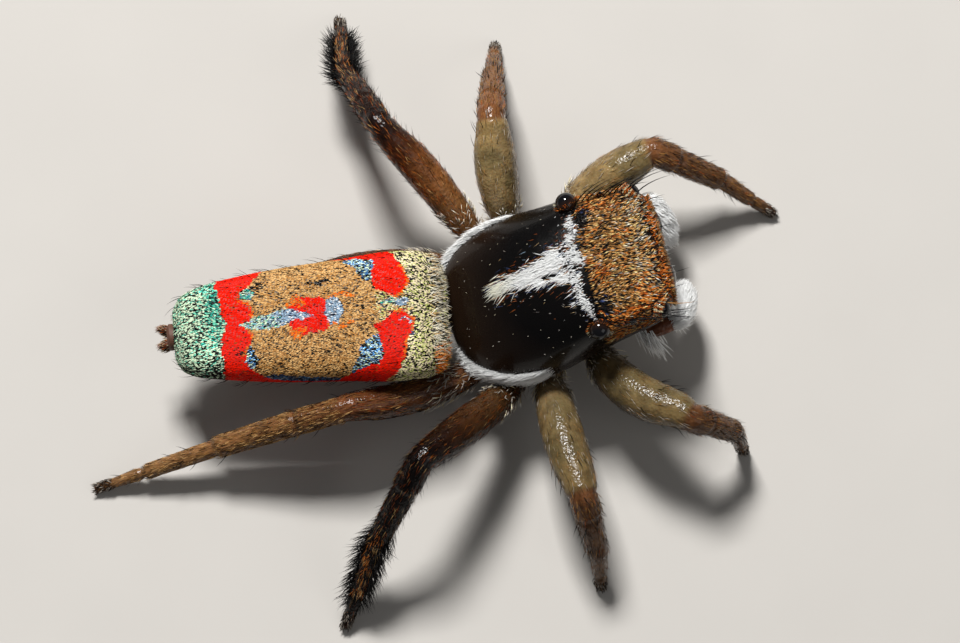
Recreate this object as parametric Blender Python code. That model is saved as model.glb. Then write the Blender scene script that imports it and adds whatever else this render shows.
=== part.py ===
"""Peacock spider, a male of the genus Maratus, life size, standing with its fan folded.

X runs along the body towards the face, Y to the spider's left and Z up from the floor.
All sizes below are millimetres of the real animal; MM turns them into Blender's metres.
"""

import math
import random

import bmesh
import bpy
import numpy as np
from mathutils import Matrix, Vector

MM = 0.001
GAP = 0.016  # daylight between two nodes that meet
FLOOR = 0.0

# The whole animal: 5 mm from the face to the end of the abdomen
HEAD_YAW = math.radians(4.6)  # the head points a little to the left of the body's line
ABDOMEN_YAW = math.radians(-5.3)  # and the abdomen trails a little to the left
FACE = Vector((2.147, 0.176))  # middle of the front eyes, in plan
ABDOMEN_FRONT = Vector((-0.115, -0.02))

# Carapace
CARAPACE_LENGTH = 2.235
FACE_DEPTH = 0.06  # the face plane lies this far behind the front eyes' lenses
HEAD_TOP = 1.72
CARAPACE_FLOOR = 0.74  # level of its flat underside above the coxae
CLYPEUS_FLOOR = 1.02  # level of the face's lower edge
CARAPACE_SIDES = 28
CARAPACE_RINGS = 20

# Sternum and coxae, under the carapace
STERNUM_HALF = (0.62, 0.32)
STERNUM_MIDDLE = -1.35
STERNUM_BOTTOM = 0.44
COXA_HEIGHT = 0.58
TROCHANTER_HEIGHT = {1: 0.61, 2: 0.57, 3: 0.57, 4: 0.57}

# Abdomen
ABDOMEN_LENGTH = 2.70
ABDOMEN_TOP = 1.42
ABDOMEN_BOTTOM = 0.56
ABDOMEN_SIDES = 28
ABDOMEN_RINGS = 20

# Eyes: name, distance behind the face line, distance from the middle, height, radius
EYES = {
    "eye_front_middle": (-0.195, 0.272, 1.380, 0.240),
    "eye_front_side": (-0.200, 0.600, 1.530, 0.100),
    "eye_small": (-0.500, 0.660, 1.575, 0.035),
    "eye_rear": (-0.840, 0.660, 1.560, 0.108),
}
EYE_SIDES = {"eye_front_middle": 16, "eye_front_side": 12, "eye_small": 6, "eye_rear": 12}

# Half the thickness of the legs of each pair: coxa, femur's middle, patella, tibia,
# metatarsus and tarsus
LEG_HALF = {
    1: (0.140, 0.210, 0.150, 0.130, 0.085, 0.060),
    2: (0.140, 0.205, 0.150, 0.132, 0.085, 0.060),
    3: (0.140, 0.175, 0.140, 0.125, 0.095, 0.062),
    4: (0.135, 0.168, 0.135, 0.130, 0.088, 0.058),
}
FEMUR_ARCH = {1: 0.04, 2: 0.05, 3: 0.04, 4: -0.03}  # and upwards
COXA_ROOT = {1: (-0.90, 0.36), 2: (-1.23, 0.42), 3: (-1.54, 0.41), 4: (-1.84, 0.31)}

# Where each leg's trochanter stands: distance behind the face line and from the middle
TROCHANTER = {
    "leg1_left": (-0.80, 0.78),
    "leg2_left": (-1.42, 0.85),
    "leg3_left": (-1.78, 0.82),
    "leg4_left": (-2.04, 0.50),
    "leg1_right": (-0.90, -0.72),
    "leg2_right": (-1.41, -0.87),
    "leg3_right": (-1.77, -0.84),
    "leg4_right": (-2.06, -0.57),
}

# The pose of each leg: knee, ankle and toe as heading in degrees from +X, reach in plan
# from the joint before, and height
POSE = {
    "leg1_left": ((22, 0.99, 1.05), (-25, 0.75, 0.50), (-35, 0.59, FLOOR)),
    "leg2_left": ((88.5, 0.92, 1.22), (78, 0.59, 0.60), (77, 0.40, FLOOR)),
    "leg3_left": ((125, 1.28, 1.45), (108, 0.80, 0.75), (84, 0.67, FLOOR)),
    "leg4_left": ((173, 1.38, 0.48), (-178, 1.18, 0.28), (-62, 0.62, FLOOR)),
    "leg1_right": ((-48, 1.21, 1.15), (-15, 0.46, 0.62), (-56, 0.13, FLOOR)),
    "leg2_right": ((-85, 1.29, 1.12), (-82, 0.52, 0.52), (-93, 0.26, FLOOR)),
    "leg3_right": ((-146, 1.27, 1.45), (-132, 0.89, 0.75), (-123, 0.76, FLOOR)),
    "leg4_right": ((-170.5, 1.41, 0.98), (-177, 1.33, 0.45), (-174, 1.27, FLOOR)),
}
FEMUR_BOW = {  # how far the femur's middle bulges towards the rear
    "leg1_left": 0.01,
    "leg2_left": 0.02,
    "leg3_left": -0.02,
    "leg4_left": -0.06,
    "leg1_right": 0.10,
    "leg2_right": 0.02,
    "leg3_right": -0.02,
    "leg4_right": -0.06,
}
PATELLA_SHARE = 0.36  # of the way from knee to ankle
TARSUS_SHARE = 0.60  # where the tarsus begins, from ankle to toe
HAIR_CLEARANCE = 0.03  # between the tips of hairs and the floor
TOE_HEIGHT = 0.045  # of the foot's middle over the floor, so that its sole is flat
LEG_SIDES = 10

# Spines and locks: how many, length, half width and half thickness
LEG_SPINES = {"femur": (4, 0.10, 0.011), "shin": (7, 0.12, 0.012), "foot": (4, 0.10, 0.010)}
SPINE_LEAN = (0.9, 1.2)  # how far they lie along the leg, against one part outwards
BRUSH_LOCKS = {"femur": (7, 0.17, 0.034), "shin": (18, 0.20, 0.040), "foot": (17, 0.20, 0.038)}
BRUSH_LEAN = (1.5, 2.1)
PALP_LOCKS = (22, 0.17, 0.034)
TUFT_LOCKS = (6, 0.26, 0.034)
BAND_LOCKS = (13, 0.22, 0.050)
FRINGE_LOCKS = (14, 0.13, 0.034)
BROW_SPINES = (5, 0.42, 0.012)
RIM_LOCKS = (8, 0.13, 0.026)
LOCK_THICKNESS = 0.010
LOCK_BEND = -0.02  # how far a lock's tip curves back towards the surface
ROOT_DEPTH = 0.04  # how deep a lock on the body is rooted in it
SHARP_EDGE = math.radians(50)
GOLDEN_TURN = math.radians(137.5)  # turns each root on from the last, so that none line up

# Finish of each kind of node: colour, roughness, metallic
FINISHES = {
    "carapace_shell": ((0.012, 0.010, 0.010), 0.22, 0.0),
    "abdomen_scales": ((0.42, 0.27, 0.13), 0.55, 0.0),
    "eye_glass": ((0.008, 0.007, 0.008), 0.05, 0.0),
    "olive_leg": ((0.23, 0.16, 0.07), 0.35, 0.0),
    "dark_leg": ((0.075, 0.030, 0.014), 0.35, 0.0),
    "mouthparts": ((0.19, 0.085, 0.04), 0.35, 0.0),
    "white_hair": ((0.80, 0.80, 0.78), 0.6, 0.0),
    "underside": ((0.12, 0.07, 0.04), 0.5, 0.0),
}


def clear_scene():
    for old in list(bpy.data.objects):
        bpy.data.objects.remove(old)


def finish(name):
    """The named material, made the first time it is asked for."""
    made = bpy.data.materials.get(name)
    if made is None:
        colour, roughness, metallic = FINISHES[name]
        made = bpy.data.materials.new(name)
        made.use_nodes = True
        shader = made.node_tree.nodes["Principled BSDF"]
        shader.inputs["Base Color"].default_value = (*colour, 1.0)
        shader.inputs["Roughness"].default_value = roughness
        shader.inputs["Metallic"].default_value = metallic
    return made


def smooth(stations, values, at):
    """A smooth curve through a few control values, which never swings past them."""
    x, y = np.array(stations, float), np.array(values, float)
    rise = np.diff(y) / np.diff(x)
    slopes = np.zeros_like(y)
    before, after = rise[:-1], rise[1:]
    same_way = before * after > 0
    slopes[1:-1][same_way] = 2 * before[same_way] * after[same_way] / (before + after)[same_way]
    slopes[0], slopes[-1] = rise[0], rise[-1]
    at = np.clip(np.atleast_1d(at), x[0], x[-1])
    i = np.clip(np.searchsorted(x, at) - 1, 0, len(x) - 2)
    h = x[i + 1] - x[i]
    t = (at - x[i]) / h
    return (
        (2 * t**3 - 3 * t**2 + 1) * y[i]
        + (t**3 - 2 * t**2 + t) * h * slopes[i]
        + (3 * t**2 - 2 * t**3) * y[i + 1]
        + (t**3 - t**2) * h * slopes[i + 1]
    )


def head_point(along, left, height):
    """A place given behind the face line, to the left of the middle, and above the floor."""
    turned = Vector((along, left))
    turned.rotate(Matrix.Rotation(HEAD_YAW, 2))
    return Vector((FACE.x + turned.x, FACE.y + turned.y, height))


def abdomen_point(back, left, height):
    """A place given back from the abdomen's front, left of its middle, and above the floor."""
    turned = Vector((-back, left))
    turned.rotate(Matrix.Rotation(ABDOMEN_YAW, 2))
    return Vector((ABDOMEN_FRONT.x + turned.x, ABDOMEN_FRONT.y + turned.y, height))


def loft(rings, tip=None):
    """A closed mesh over rings of the same number of points, each end fanned in to a point."""
    bm = bmesh.new()
    loops = [[bm.verts.new(p) for p in ring] for ring in rings]
    count = len(loops[0])
    for lower, upper in zip(loops, loops[1:]):
        for i in range(count):
            j = (i + 1) % count
            bm.faces.new((lower[i], lower[j], upper[j], upper[i]))
    for ring, end in ((loops[0], None), (loops[-1], tip)):
        middle = bm.verts.new(end or sum((v.co for v in ring), Vector()) / count)
        for i in range(count):
            bm.faces.new((ring[i], ring[(i + 1) % count], middle))
    bmesh.ops.recalc_face_normals(bm, faces=bm.faces)
    return bm


def node(name, bm, material):
    """An object from a bmesh in millimetres."""
    mesh = bpy.data.meshes.new(name)
    bmesh.ops.triangulate(bm, faces=bm.faces)
    bm.to_mesh(mesh)
    bm.free()
    made = bpy.data.objects.new(name, mesh)
    bpy.context.scene.collection.objects.link(made)
    mesh.materials.append(finish(material))
    mesh.shade_smooth()
    mesh.set_sharp_from_angle(angle=SHARP_EDGE)
    return made


def largest_surface(mesh):
    """Keeps only the largest closed surface of a mesh."""
    bm = bmesh.new()
    bm.from_mesh(mesh)
    left, pieces = set(bm.faces), []
    while left:
        piece, front = set(), [left.pop()]
        while front:
            face = front.pop()
            piece.add(face)
            for edge in face.edges:
                for other in edge.link_faces:
                    if other in left:
                        left.remove(other)
                        front.append(other)
        pieces.append(piece)
    pieces.sort(key=lambda piece: sum(face.calc_area() for face in piece))
    spare = [face for piece in pieces[:-1] for face in piece]
    if spare:
        bmesh.ops.delete(bm, geom=spare, context="FACES")
        loose = [v for v in bm.verts if not v.link_faces]
        bmesh.ops.delete(bm, geom=loose, context="VERTS")
    bm.to_mesh(mesh)
    bm.free()


def combine(base, others, operation):
    """Joins closed mesh objects to a base, or cuts them from it, and removes them."""
    if not others:
        return base
    group = bpy.data.collections.new(base.name + "_pieces")
    bpy.context.scene.collection.children.link(group)
    for other in others:
        bpy.context.scene.collection.objects.unlink(other)
        group.objects.link(other)
    step = base.modifiers.new(operation.lower(), "BOOLEAN")
    step.operation = operation
    step.operand_type = "COLLECTION"
    step.collection = group
    step.solver = "EXACT"
    graph = bpy.context.evaluated_depsgraph_get()
    merged = bpy.data.meshes.new_from_object(base.evaluated_get(graph))
    base.modifiers.clear()
    base.data = merged
    for other in others:
        bpy.data.objects.remove(other)
    bpy.data.collections.remove(group)
    largest_surface(base.data)
    return base


def blade(root, direction, facing, size, bend=0.0, sides=4, shares=((0, 1.0), (0.4, 0.95), (0.75, 0.6))):
    """A lock or a spine: a flat tapered blade from its root to a point, bent towards `facing`."""
    length, half_width, half_thickness = size
    direction = direction.normalized()
    sideways = direction.cross(facing).normalized()
    facing = sideways.cross(direction)
    rings = []
    for share, taper in shares:
        middle = root + direction * (length * share) + facing * (bend * share**2)
        turns = (2 * math.pi * k / sides for k in range(sides))
        rings.append([
            middle + sideways * (half_width * taper * math.cos(t))
            + facing * (half_thickness * taper * math.sin(t))
            for t in turns
        ])
    tip = root + direction * length + facing * bend
    return node("blade", loft(rings, tip), "white_hair")


def spine(root, direction, facing, length, half, bend=0.0):
    """A three-sided bristle."""
    return blade(root, direction, facing, (length, half, half), bend, 3, ((0, 1.0), (0.55, 0.7)))


def place_on(surface, u, v):
    """A point of a surface with its normal and its direction of growing u.

    The normal points outwards where u grows forwards, and inwards where it grows to the rear.
    """
    step = 0.004
    here = surface(u, v)
    along = (surface(u + step, v) - surface(u - step, v)).normalized()
    around = (surface(u, v + step) - surface(u, v - step)).normalized()
    return here, around.cross(along).normalized(), along


def ball(name, centre, radius, sides, stretch=(1, 1, 1)):
    """A round ball, or one stretched along the axes."""
    bm = bmesh.new()
    bmesh.ops.create_uvsphere(bm, u_segments=sides, v_segments=sides // 2 + 1, radius=radius)
    bmesh.ops.scale(bm, vec=stretch, verts=bm.verts)
    bmesh.ops.rotate(bm, matrix=Matrix.Rotation(math.pi / 2, 3, "Y"), verts=bm.verts)
    bmesh.ops.translate(bm, vec=centre, verts=bm.verts)
    return node(name, bm, "eye_glass")


def squared_point(turn, half, top, middle, bottom, upper_power, lower_power):
    """One point of a cross-section, as left and height: a superellipse over and under its widest level."""
    c, s = math.cos(turn), math.sin(turn)
    power = upper_power if s > 0 else lower_power
    rise = top - middle if s > 0 else middle - bottom
    left = half * math.copysign(abs(c) ** (2 / power), c)
    return left, middle + rise * math.copysign(abs(s) ** (2 / power), s)


def carapace_profile(along):
    """Half width, middle line, top, widest level, underside and squareness of the carapace at a place."""
    rear = -CARAPACE_LENGTH
    half = smooth(
        (rear, rear + 0.02, rear + 0.09, rear + 0.28, rear + 0.55, rear + 0.87, -0.95, -0.60, -0.25,
         -0.12, -FACE_DEPTH),
        (0.16, 0.30, 0.48, 0.67, 0.785, 0.825, 0.780, 0.735, 0.690, 0.605, 0.535), along)
    middle = smooth((rear, rear + 0.10, rear + 0.60, -1.20, -0.85), (0.0, -0.03, -0.05, -0.035, 0.0), along)
    top = smooth(
        (rear, rear + 0.10, rear + 0.35, rear + 0.70, rear + 1.05, -0.75, -0.35, -FACE_DEPTH),
        (0.93, 1.06, 1.27, 1.50, 1.655, HEAD_TOP, 1.705, 1.640), along)
    widest = smooth((rear, rear + 0.6, -0.9, -0.3, -FACE_DEPTH), (0.86, 0.90, 1.02, 1.28, 1.34), along)
    under = smooth(
        (rear, rear + 0.25, -0.85, -0.55, -0.42, -FACE_DEPTH),
        (0.80, CARAPACE_FLOOR, CARAPACE_FLOOR, 0.93, CLYPEUS_FLOOR, CLYPEUS_FLOOR + 0.01), along)
    power = smooth((rear, rear + 0.9, -0.85, -FACE_DEPTH), (2.1, 2.3, 3.0, 3.4), along)
    return half, middle, top, widest, under, power


def carapace_surface(along, turn):
    """A point of the shell, `turn` going from its left edge over the top to the right one."""
    half, middle, top, widest, under, power = (float(value[0]) for value in carapace_profile(along))
    left, height = squared_point(turn, half, top, widest, under, power, 3.2)
    return head_point(along, left + middle, height)


def carapace():
    """The shell over the head and thorax, a loft of squared rings from the rear to the face."""
    spread = 0.5 - 0.5 * np.cos(np.linspace(0, math.pi, CARAPACE_RINGS))
    rings = []
    for share in spread:
        along = -CARAPACE_LENGTH + (CARAPACE_LENGTH - FACE_DEPTH) * share
        turns = (2 * math.pi * (k + 0.5) / CARAPACE_SIDES for k in range(CARAPACE_SIDES))
        rings.append([carapace_surface(along, t) for t in turns])
    return node("carapace", loft(rings), "carapace_shell")


def clear_of(limbs, root, direction, length, margin=0.035):
    """Whether a straight lock keeps clear of the legs along its whole length."""
    direction = direction.normalized()
    for share in (0.3, 0.65, 1.0):
        place = root + direction * (length * share)
        for limb in limbs:
            for at in np.arange(0, len(limb.path) - 1, 0.5):
                middle, _, _, _, half = limb.frame(at)
                if (place - middle).length < half * 1.06 + margin:
                    return False
    return True


def carapace_hair(limbs):
    """White locks along both rear sides and under the face, and the long bristles of the brows."""
    pieces = []
    forward = head_point(1, 0, 0) - head_point(0, 0, 0)
    count, length, half = BAND_LOCKS
    for right in (False, True):
        for i in range(count):
            along = -1.02 - 1.12 * i / (count - 1)
            turn = -0.05 + 0.20 * (i % 2)
            place, normal, ahead = place_on(carapace_surface, along, math.pi - turn if right else turn)
            root = place - normal * ROOT_DEPTH
            direction = normal - ahead * 0.8
            for reach in (length, 0.75 * length, 0.5 * length):
                if clear_of(limbs, root, direction, reach):
                    size = (reach, half, LOCK_THICKNESS)
                    pieces.append(blade(root, direction, normal, size, LOCK_BEND))
                    break
    count, length, half = FRINGE_LOCKS
    for i in range(count):
        left = 0.50 * (2 * i / (count - 1) - 1)
        place = head_point(-FACE_DEPTH - 0.03, left, 1.075 + 0.02 * (i % 2))
        direction = forward * 0.75 - Vector((0, 0, 1))
        pieces.append(blade(place, direction, forward, (length, half, LOCK_THICKNESS), LOCK_BEND))
    count, length, half = BROW_SPINES
    for sign in (1, -1):
        outward = (head_point(0, sign, 0) - head_point(0, 0, 0))
        for i in range(count):
            place = head_point(-0.70 + 0.09 * i, sign * 0.62, 1.60)
            direction = forward * (0.55 + 0.12 * i) + outward * 0.80 + Vector((0, 0, 0.40))
            pieces.append(spine(place, direction, -Vector((0, 0, 1)), length, half, 0.07))
        for left in (0.12, 0.34, 0.50):
            place = head_point(-0.32, sign * left, 1.655)
            direction = forward + outward * left * 0.5 + Vector((0, 0, 0.55))
            pieces.append(spine(place, direction, -Vector((0, 0, 1)), length * 0.9, half, 0.07))
    return pieces


def eyes(shell):
    """Eight balls, each in a socket that is cut from the shell."""
    made, sockets = [], []
    for name, (along, left, height, radius) in EYES.items():
        for side, sign in (("left", 1), ("right", -1)):
            centre = head_point(along, sign * left, height)
            made.append(ball(f"{name}_{side}", centre, radius, EYE_SIDES[name]))
            sockets.append(ball("socket", centre, radius + GAP, EYE_SIDES[name]))
    combine(shell, sockets, "DIFFERENCE")
    return made


def sternum():
    """The shield between the coxae, with the two mouth plates fused on in front."""
    def oval(middle, left, half_length, half_width, height, sides=16):
        turns = [2 * math.pi * i / sides for i in range(sides)]
        return [
            head_point(middle + half_length * math.cos(t), left + half_width * math.sin(t), height)
            for t in turns
        ]

    def shield(middle, left, length, width, levels):
        return loft([oval(middle, left, length * k, width * k, z) for z, k in levels])

    top = CARAPACE_FLOOR - GAP
    levels = ((top, 1.0), (0.60, 1.0), (0.50, 0.86), (STERNUM_BOTTOM, 0.55))
    base = node("sternum", shield(STERNUM_MIDDLE, 0, *STERNUM_HALF, levels), "underside")
    plates = []
    for left in (0.13, -0.13):
        steps = ((0.64, 0.9), (0.56, 1.0), (0.47, 0.95), (0.43, 0.6))
        plates.append(node("plate", shield(-0.66, left, 0.19, 0.105, steps), "underside"))
    return combine(base, plates, "UNION")


def abdomen_profile(back):
    """Half width, top, widest level and underside of the abdomen at a distance from its front."""
    end = ABDOMEN_LENGTH
    half = smooth(
        (0, 0.03, 0.10, 0.24, 0.50, 1.00, 1.60, 2.15, 2.45, 2.61, end - 0.02, end),
        (0.36, 0.50, 0.60, 0.655, 0.665, 0.625, 0.585, 0.520, 0.465, 0.395, 0.30, 0.22), back)
    top = smooth(
        (0, 0.08, 0.28, 0.80, 1.60, 2.30, 2.58, end),
        (1.20, 1.30, 1.39, ABDOMEN_TOP, 1.40, 1.335, 1.26, 1.10), back)
    widest = smooth((0, 0.15, 0.4, 2.2, end), (1.10, 1.05, 1.08, 1.06, 0.95), back)
    under = smooth(
        (0, 0.05, 0.20, 0.50, 1.30, 2.10, 2.50, end),
        (1.00, 0.90, 0.74, 0.61, ABDOMEN_BOTTOM, 0.63, 0.72, 0.82), back)
    return half, top, widest, under


def abdomen_surface(back, turn):
    """A point of the abdomen, `turn` going from its left edge over the top to the right one."""
    half, top, widest, under = (float(value[0]) for value in abdomen_profile(back))
    left, height = squared_point(turn, half, top, widest, under, 2.9, 2.05)
    return abdomen_point(back, left, height)


def abdomen():
    """The abdomen with its side flaps folded down, flat on top and round below."""
    rings = []
    for share in 0.5 - 0.5 * np.cos(np.linspace(0, math.pi, ABDOMEN_RINGS)):
        turns = (2 * math.pi * (k + 0.5) / ABDOMEN_SIDES for k in range(ABDOMEN_SIDES))
        rings.append([abdomen_surface(ABDOMEN_LENGTH * share, t) for t in turns])
    base = node("abdomen", loft(rings), "abdomen_scales")
    count, length, half = RIM_LOCKS
    locks = []
    rearward = abdomen_point(1, 0, 0) - abdomen_point(0, 0, 0)
    for right in (False, True):
        for i in range(count):
            back = 0.30 + 2.1 * i / (count - 1)
            turn = 0.50 - 0.12 * (i % 2)
            place, inward, _ = place_on(abdomen_surface, back, math.pi - turn if right else turn)
            normal = -inward
            direction = normal + rearward
            size = (length, half, LOCK_THICKNESS)
            locks.append(blade(place - normal * ROOT_DEPTH, direction, normal, size, LOCK_BEND / 2))
    for i in range(count):
        left = 0.28 * (2 * i / (count - 1) - 1)
        place = abdomen_point(ABDOMEN_LENGTH - 0.06, left, 1.12)
        direction = rearward + Vector((0, 0, 0.35))
        size = (length * 1.3, half, LOCK_THICKNESS)
        locks.append(blade(place, direction, Vector((0, 0, 1)), size, LOCK_BEND))
    return combine(base, locks, "UNION")


def bend_through(points, halves):
    """The points of a polyline with each corner rounded to an arc, and each corner's station.

    The arc starts far enough from its corner that rings of the given half thickness don't cross.
    """
    path, corners = [points[0]], []
    for before, corner, after, half in zip(points, points[1:], points[2:], halves):
        back, on = before - corner, after - corner
        bend = math.pi - back.angle(on)
        ease = max(0.05, 1.25 * half * math.tan(bend / 2))
        start = corner + back.normalized() * min(ease, 0.42 * back.length)
        end = corner + on.normalized() * min(ease, 0.42 * on.length)
        path.append(start)
        corners.append(len(path))
        path.append((start + 4 * corner + end) / 6)
        path.append(end)
    path.append(points[-1])
    return path, corners


class Limb:
    """A round limb along a path of stations, each with its own half thickness."""

    def __init__(self, path, halves, tallness=1.0):
        self.path = path
        self.halves = halves
        self.tallness = tallness

    def frame(self, at):
        """Middle, direction, side, upward and half thickness at a place between stations."""
        i = min(int(at), len(self.path) - 2)
        share = at - i
        middle = self.path[i].lerp(self.path[i + 1], share)
        half = self.halves[i] + (self.halves[i + 1] - self.halves[i]) * share
        along = (self.path[i + 1] - self.path[i]).normalized()
        if share == 0 and i > 0:
            along = (along + (self.path[i] - self.path[i - 1]).normalized()).normalized()
        across = Vector((0, 0, 1)).cross(along).normalized()
        return middle, along, across, along.cross(across), half

    def point(self, at, turn, depth=1.0):
        """A point at a share of the half thickness out from the middle."""
        middle, _, across, upward, half = self.frame(at)
        reach = half * depth
        return middle + across * (reach * math.cos(turn)) + upward * (reach * self.tallness * math.sin(turn))

    def ring(self, at, sides=LEG_SIDES):
        ring = [self.point(at, 2 * math.pi * k / sides) for k in range(sides)]
        for place in ring:
            place.z = max(place.z, FLOOR)
        return ring

    def solid(self, name, material, start=0, end=None, sides=LEG_SIDES):
        """The limb between two stations as a node, short by half the gap where it was parted."""
        last = len(self.path) - 1
        end = last if end is None else end
        rings = [self.ring(i, sides) for i in range(start, end + 1)]
        if start:
            rings[0] = shifted(rings[0], rings[1], GAP / 2)
        if end < last:
            rings[-1] = shifted(rings[-1], rings[-2], GAP / 2)
        return node(name, loft(rings), material)


def subdivided(path, halves, spans):
    """Extra stations between those of a path, each span cut into as many parts as asked."""
    new_path, new_halves, where = [], [], []
    for i, parts in enumerate(spans):
        where.append(len(new_path))
        for k in range(parts):
            t = k / parts
            new_path.append(path[i].lerp(path[i + 1], t))
            new_halves.append(halves[i] + (halves[i + 1] - halves[i]) * (3 * t**2 - 2 * t**3))
    where.append(len(new_path))
    new_path.append(path[-1])
    new_halves.append(halves[-1])
    return new_path, new_halves, where


def plan_step(start, heading, reach, height):
    angle = math.radians(heading)
    return Vector((start.x + reach * math.cos(angle), start.y + reach * math.sin(angle), height))


def leg_joints(name):
    """Coxa root, trochanter, knee, end of patella, ankle, start of tarsus and toe."""
    pair, sign = int(name[3]), (1 if name.endswith("left") else -1)
    root = head_point(COXA_ROOT[pair][0], sign * COXA_ROOT[pair][1], COXA_HEIGHT)
    trochanter = head_point(*TROCHANTER[name], TROCHANTER_HEIGHT[pair])
    knee = plan_step(trochanter, *POSE[name][0])
    ankle = plan_step(knee, *POSE[name][1])
    toe = plan_step(ankle, *POSE[name][2]) + Vector((0, 0, TOE_HEIGHT))
    lift = Vector((0, 0, 0.03))
    patella_end = knee.lerp(ankle, PATELLA_SHARE) + lift
    tarsus_start = ankle.lerp(toe, TARSUS_SHARE) - 0.6 * lift
    return [root, trochanter, knee, patella_end, ankle, tarsus_start, toe]


def leg_limb(name):
    """A whole leg as one limb, and the stations of its knee and its ankle."""
    pair = int(name[3])
    coxa, femur, patella, tibia, metatarsus, tarsus = LEG_HALF[pair]
    path, corners = bend_through(leg_joints(name), (coxa, patella, patella, metatarsus, tarsus))
    _, knee, _, ankle, _ = corners
    halves = [coxa * 0.62]
    halves += [coxa, coxa * 0.80, femur * 0.74]
    halves += [femur * 0.84, patella * 1.02, patella * 0.95]
    halves += [patella * 0.96, patella * 0.86, tibia * 0.98]
    halves += [tibia * 0.86, tibia * 0.72, metatarsus * 0.98]
    halves += [metatarsus * 0.88, tarsus * 0.95, tarsus * 1.05]
    halves += [tarsus * 0.72]
    spans = [2] + [1] * (len(path) - 2)
    spans[3], spans[6], spans[9], spans[12], spans[15] = 4, 3, 4, 3, 3
    path, halves, where = subdivided(path, halves, spans)
    first = where[3]
    run = path[first + 4] - path[first]
    rearward = Vector((run.y, -run.x, 0)).normalized()
    if rearward.x > 0:
        rearward.negate()
    for k, share in ((1, 0.95), (2, 1.03), (3, 1.0)):
        halves[first + k] = femur * share
        push = math.sin(math.pi * k / 4)
        path[first + k] += rearward * (FEMUR_BOW[name] * push) + Vector((0, 0, FEMUR_ARCH[pair] * push))
    return Limb(path, halves, 1.06), where[knee], where[ankle]


def shifted(ring, other, distance):
    """A ring moved a short way towards another."""
    middle = sum(ring, Vector()) / len(ring)
    towards = (sum(other, Vector()) / len(other) - middle).normalized()
    return [point + towards * distance for point in ring]


def limb_hair(limb, start, end, style, brush, phase):
    """Spines, or a brush of flat locks, all round a stretch of a limb and leaning to its end."""
    count, length, half = style
    pieces = []
    for i in range(count):
        at = start + (end - start) * (i + 0.5) / count
        turn = phase + GOLDEN_TURN * i
        _, along, _, _, _ = limb.frame(at)
        root = limb.point(at, turn, 0.6)
        normal = (limb.point(at, turn) - root).normalized()
        lean = random.uniform(*(BRUSH_LEAN if brush else SPINE_LEAN))
        reach = length * random.uniform(0.85, 1.15) + (limb.point(at, turn) - root).length
        direction = normal + along * lean
        tip = root + direction.normalized() * reach
        if tip.z < HAIR_CLEARANCE:
            continue
        if brush:
            pieces.append(blade(root, direction, normal, (reach, half, LOCK_THICKNESS), LOCK_BEND))
        else:
            pieces.append(spine(root, direction, normal, reach, half, -0.015))
    return pieces


def leg(name, limb, knee, ankle):
    """One leg in three nodes, parted at the knee and at the ankle, with its spines or brush."""
    brush = "leg3" in name
    material = "dark_leg" if brush else "olive_leg"
    styles = BRUSH_LOCKS if brush else LEG_SPINES
    last = len(limb.path) - 1
    pieces = []
    for part, start, end, hair_start in (
        ("femur", 0, knee, knee * 0.62), ("shin", knee, ankle, knee + 0.8), ("foot", ankle, last, ankle + 0.6)
    ):
        base = limb.solid(f"{name}_{part}", material, start, end)
        hair = limb_hair(limb, hair_start, end - 1.6, styles[part], brush, hair_start)
        pieces.append(combine(base, hair, "UNION"))
    return pieces


def chelicera(side, sign):
    """One of the two upright jaws under the face."""
    levels = (
        (CLYPEUS_FLOOR - 0.012, 0.120, 0.110), (0.90, 0.155, 0.130), (0.74, 0.150, 0.130),
        (0.60, 0.120, 0.112), (0.49, 0.085, 0.085), (0.44, 0.045, 0.05))
    rings = []
    for height, length, width in levels:
        middle_along = -0.255 - 0.05 * (CLYPEUS_FLOOR - height)
        middle_left = sign * (0.150 + 0.02 * (CLYPEUS_FLOOR - height))
        turns = (2 * math.pi * k / 12 for k in range(12))
        rings.append([
            head_point(middle_along + length * math.cos(t), middle_left + width * math.sin(t), height)
            for t in turns
        ])
    return node(f"chelicera_{side}", loft(rings), "mouthparts")


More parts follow.
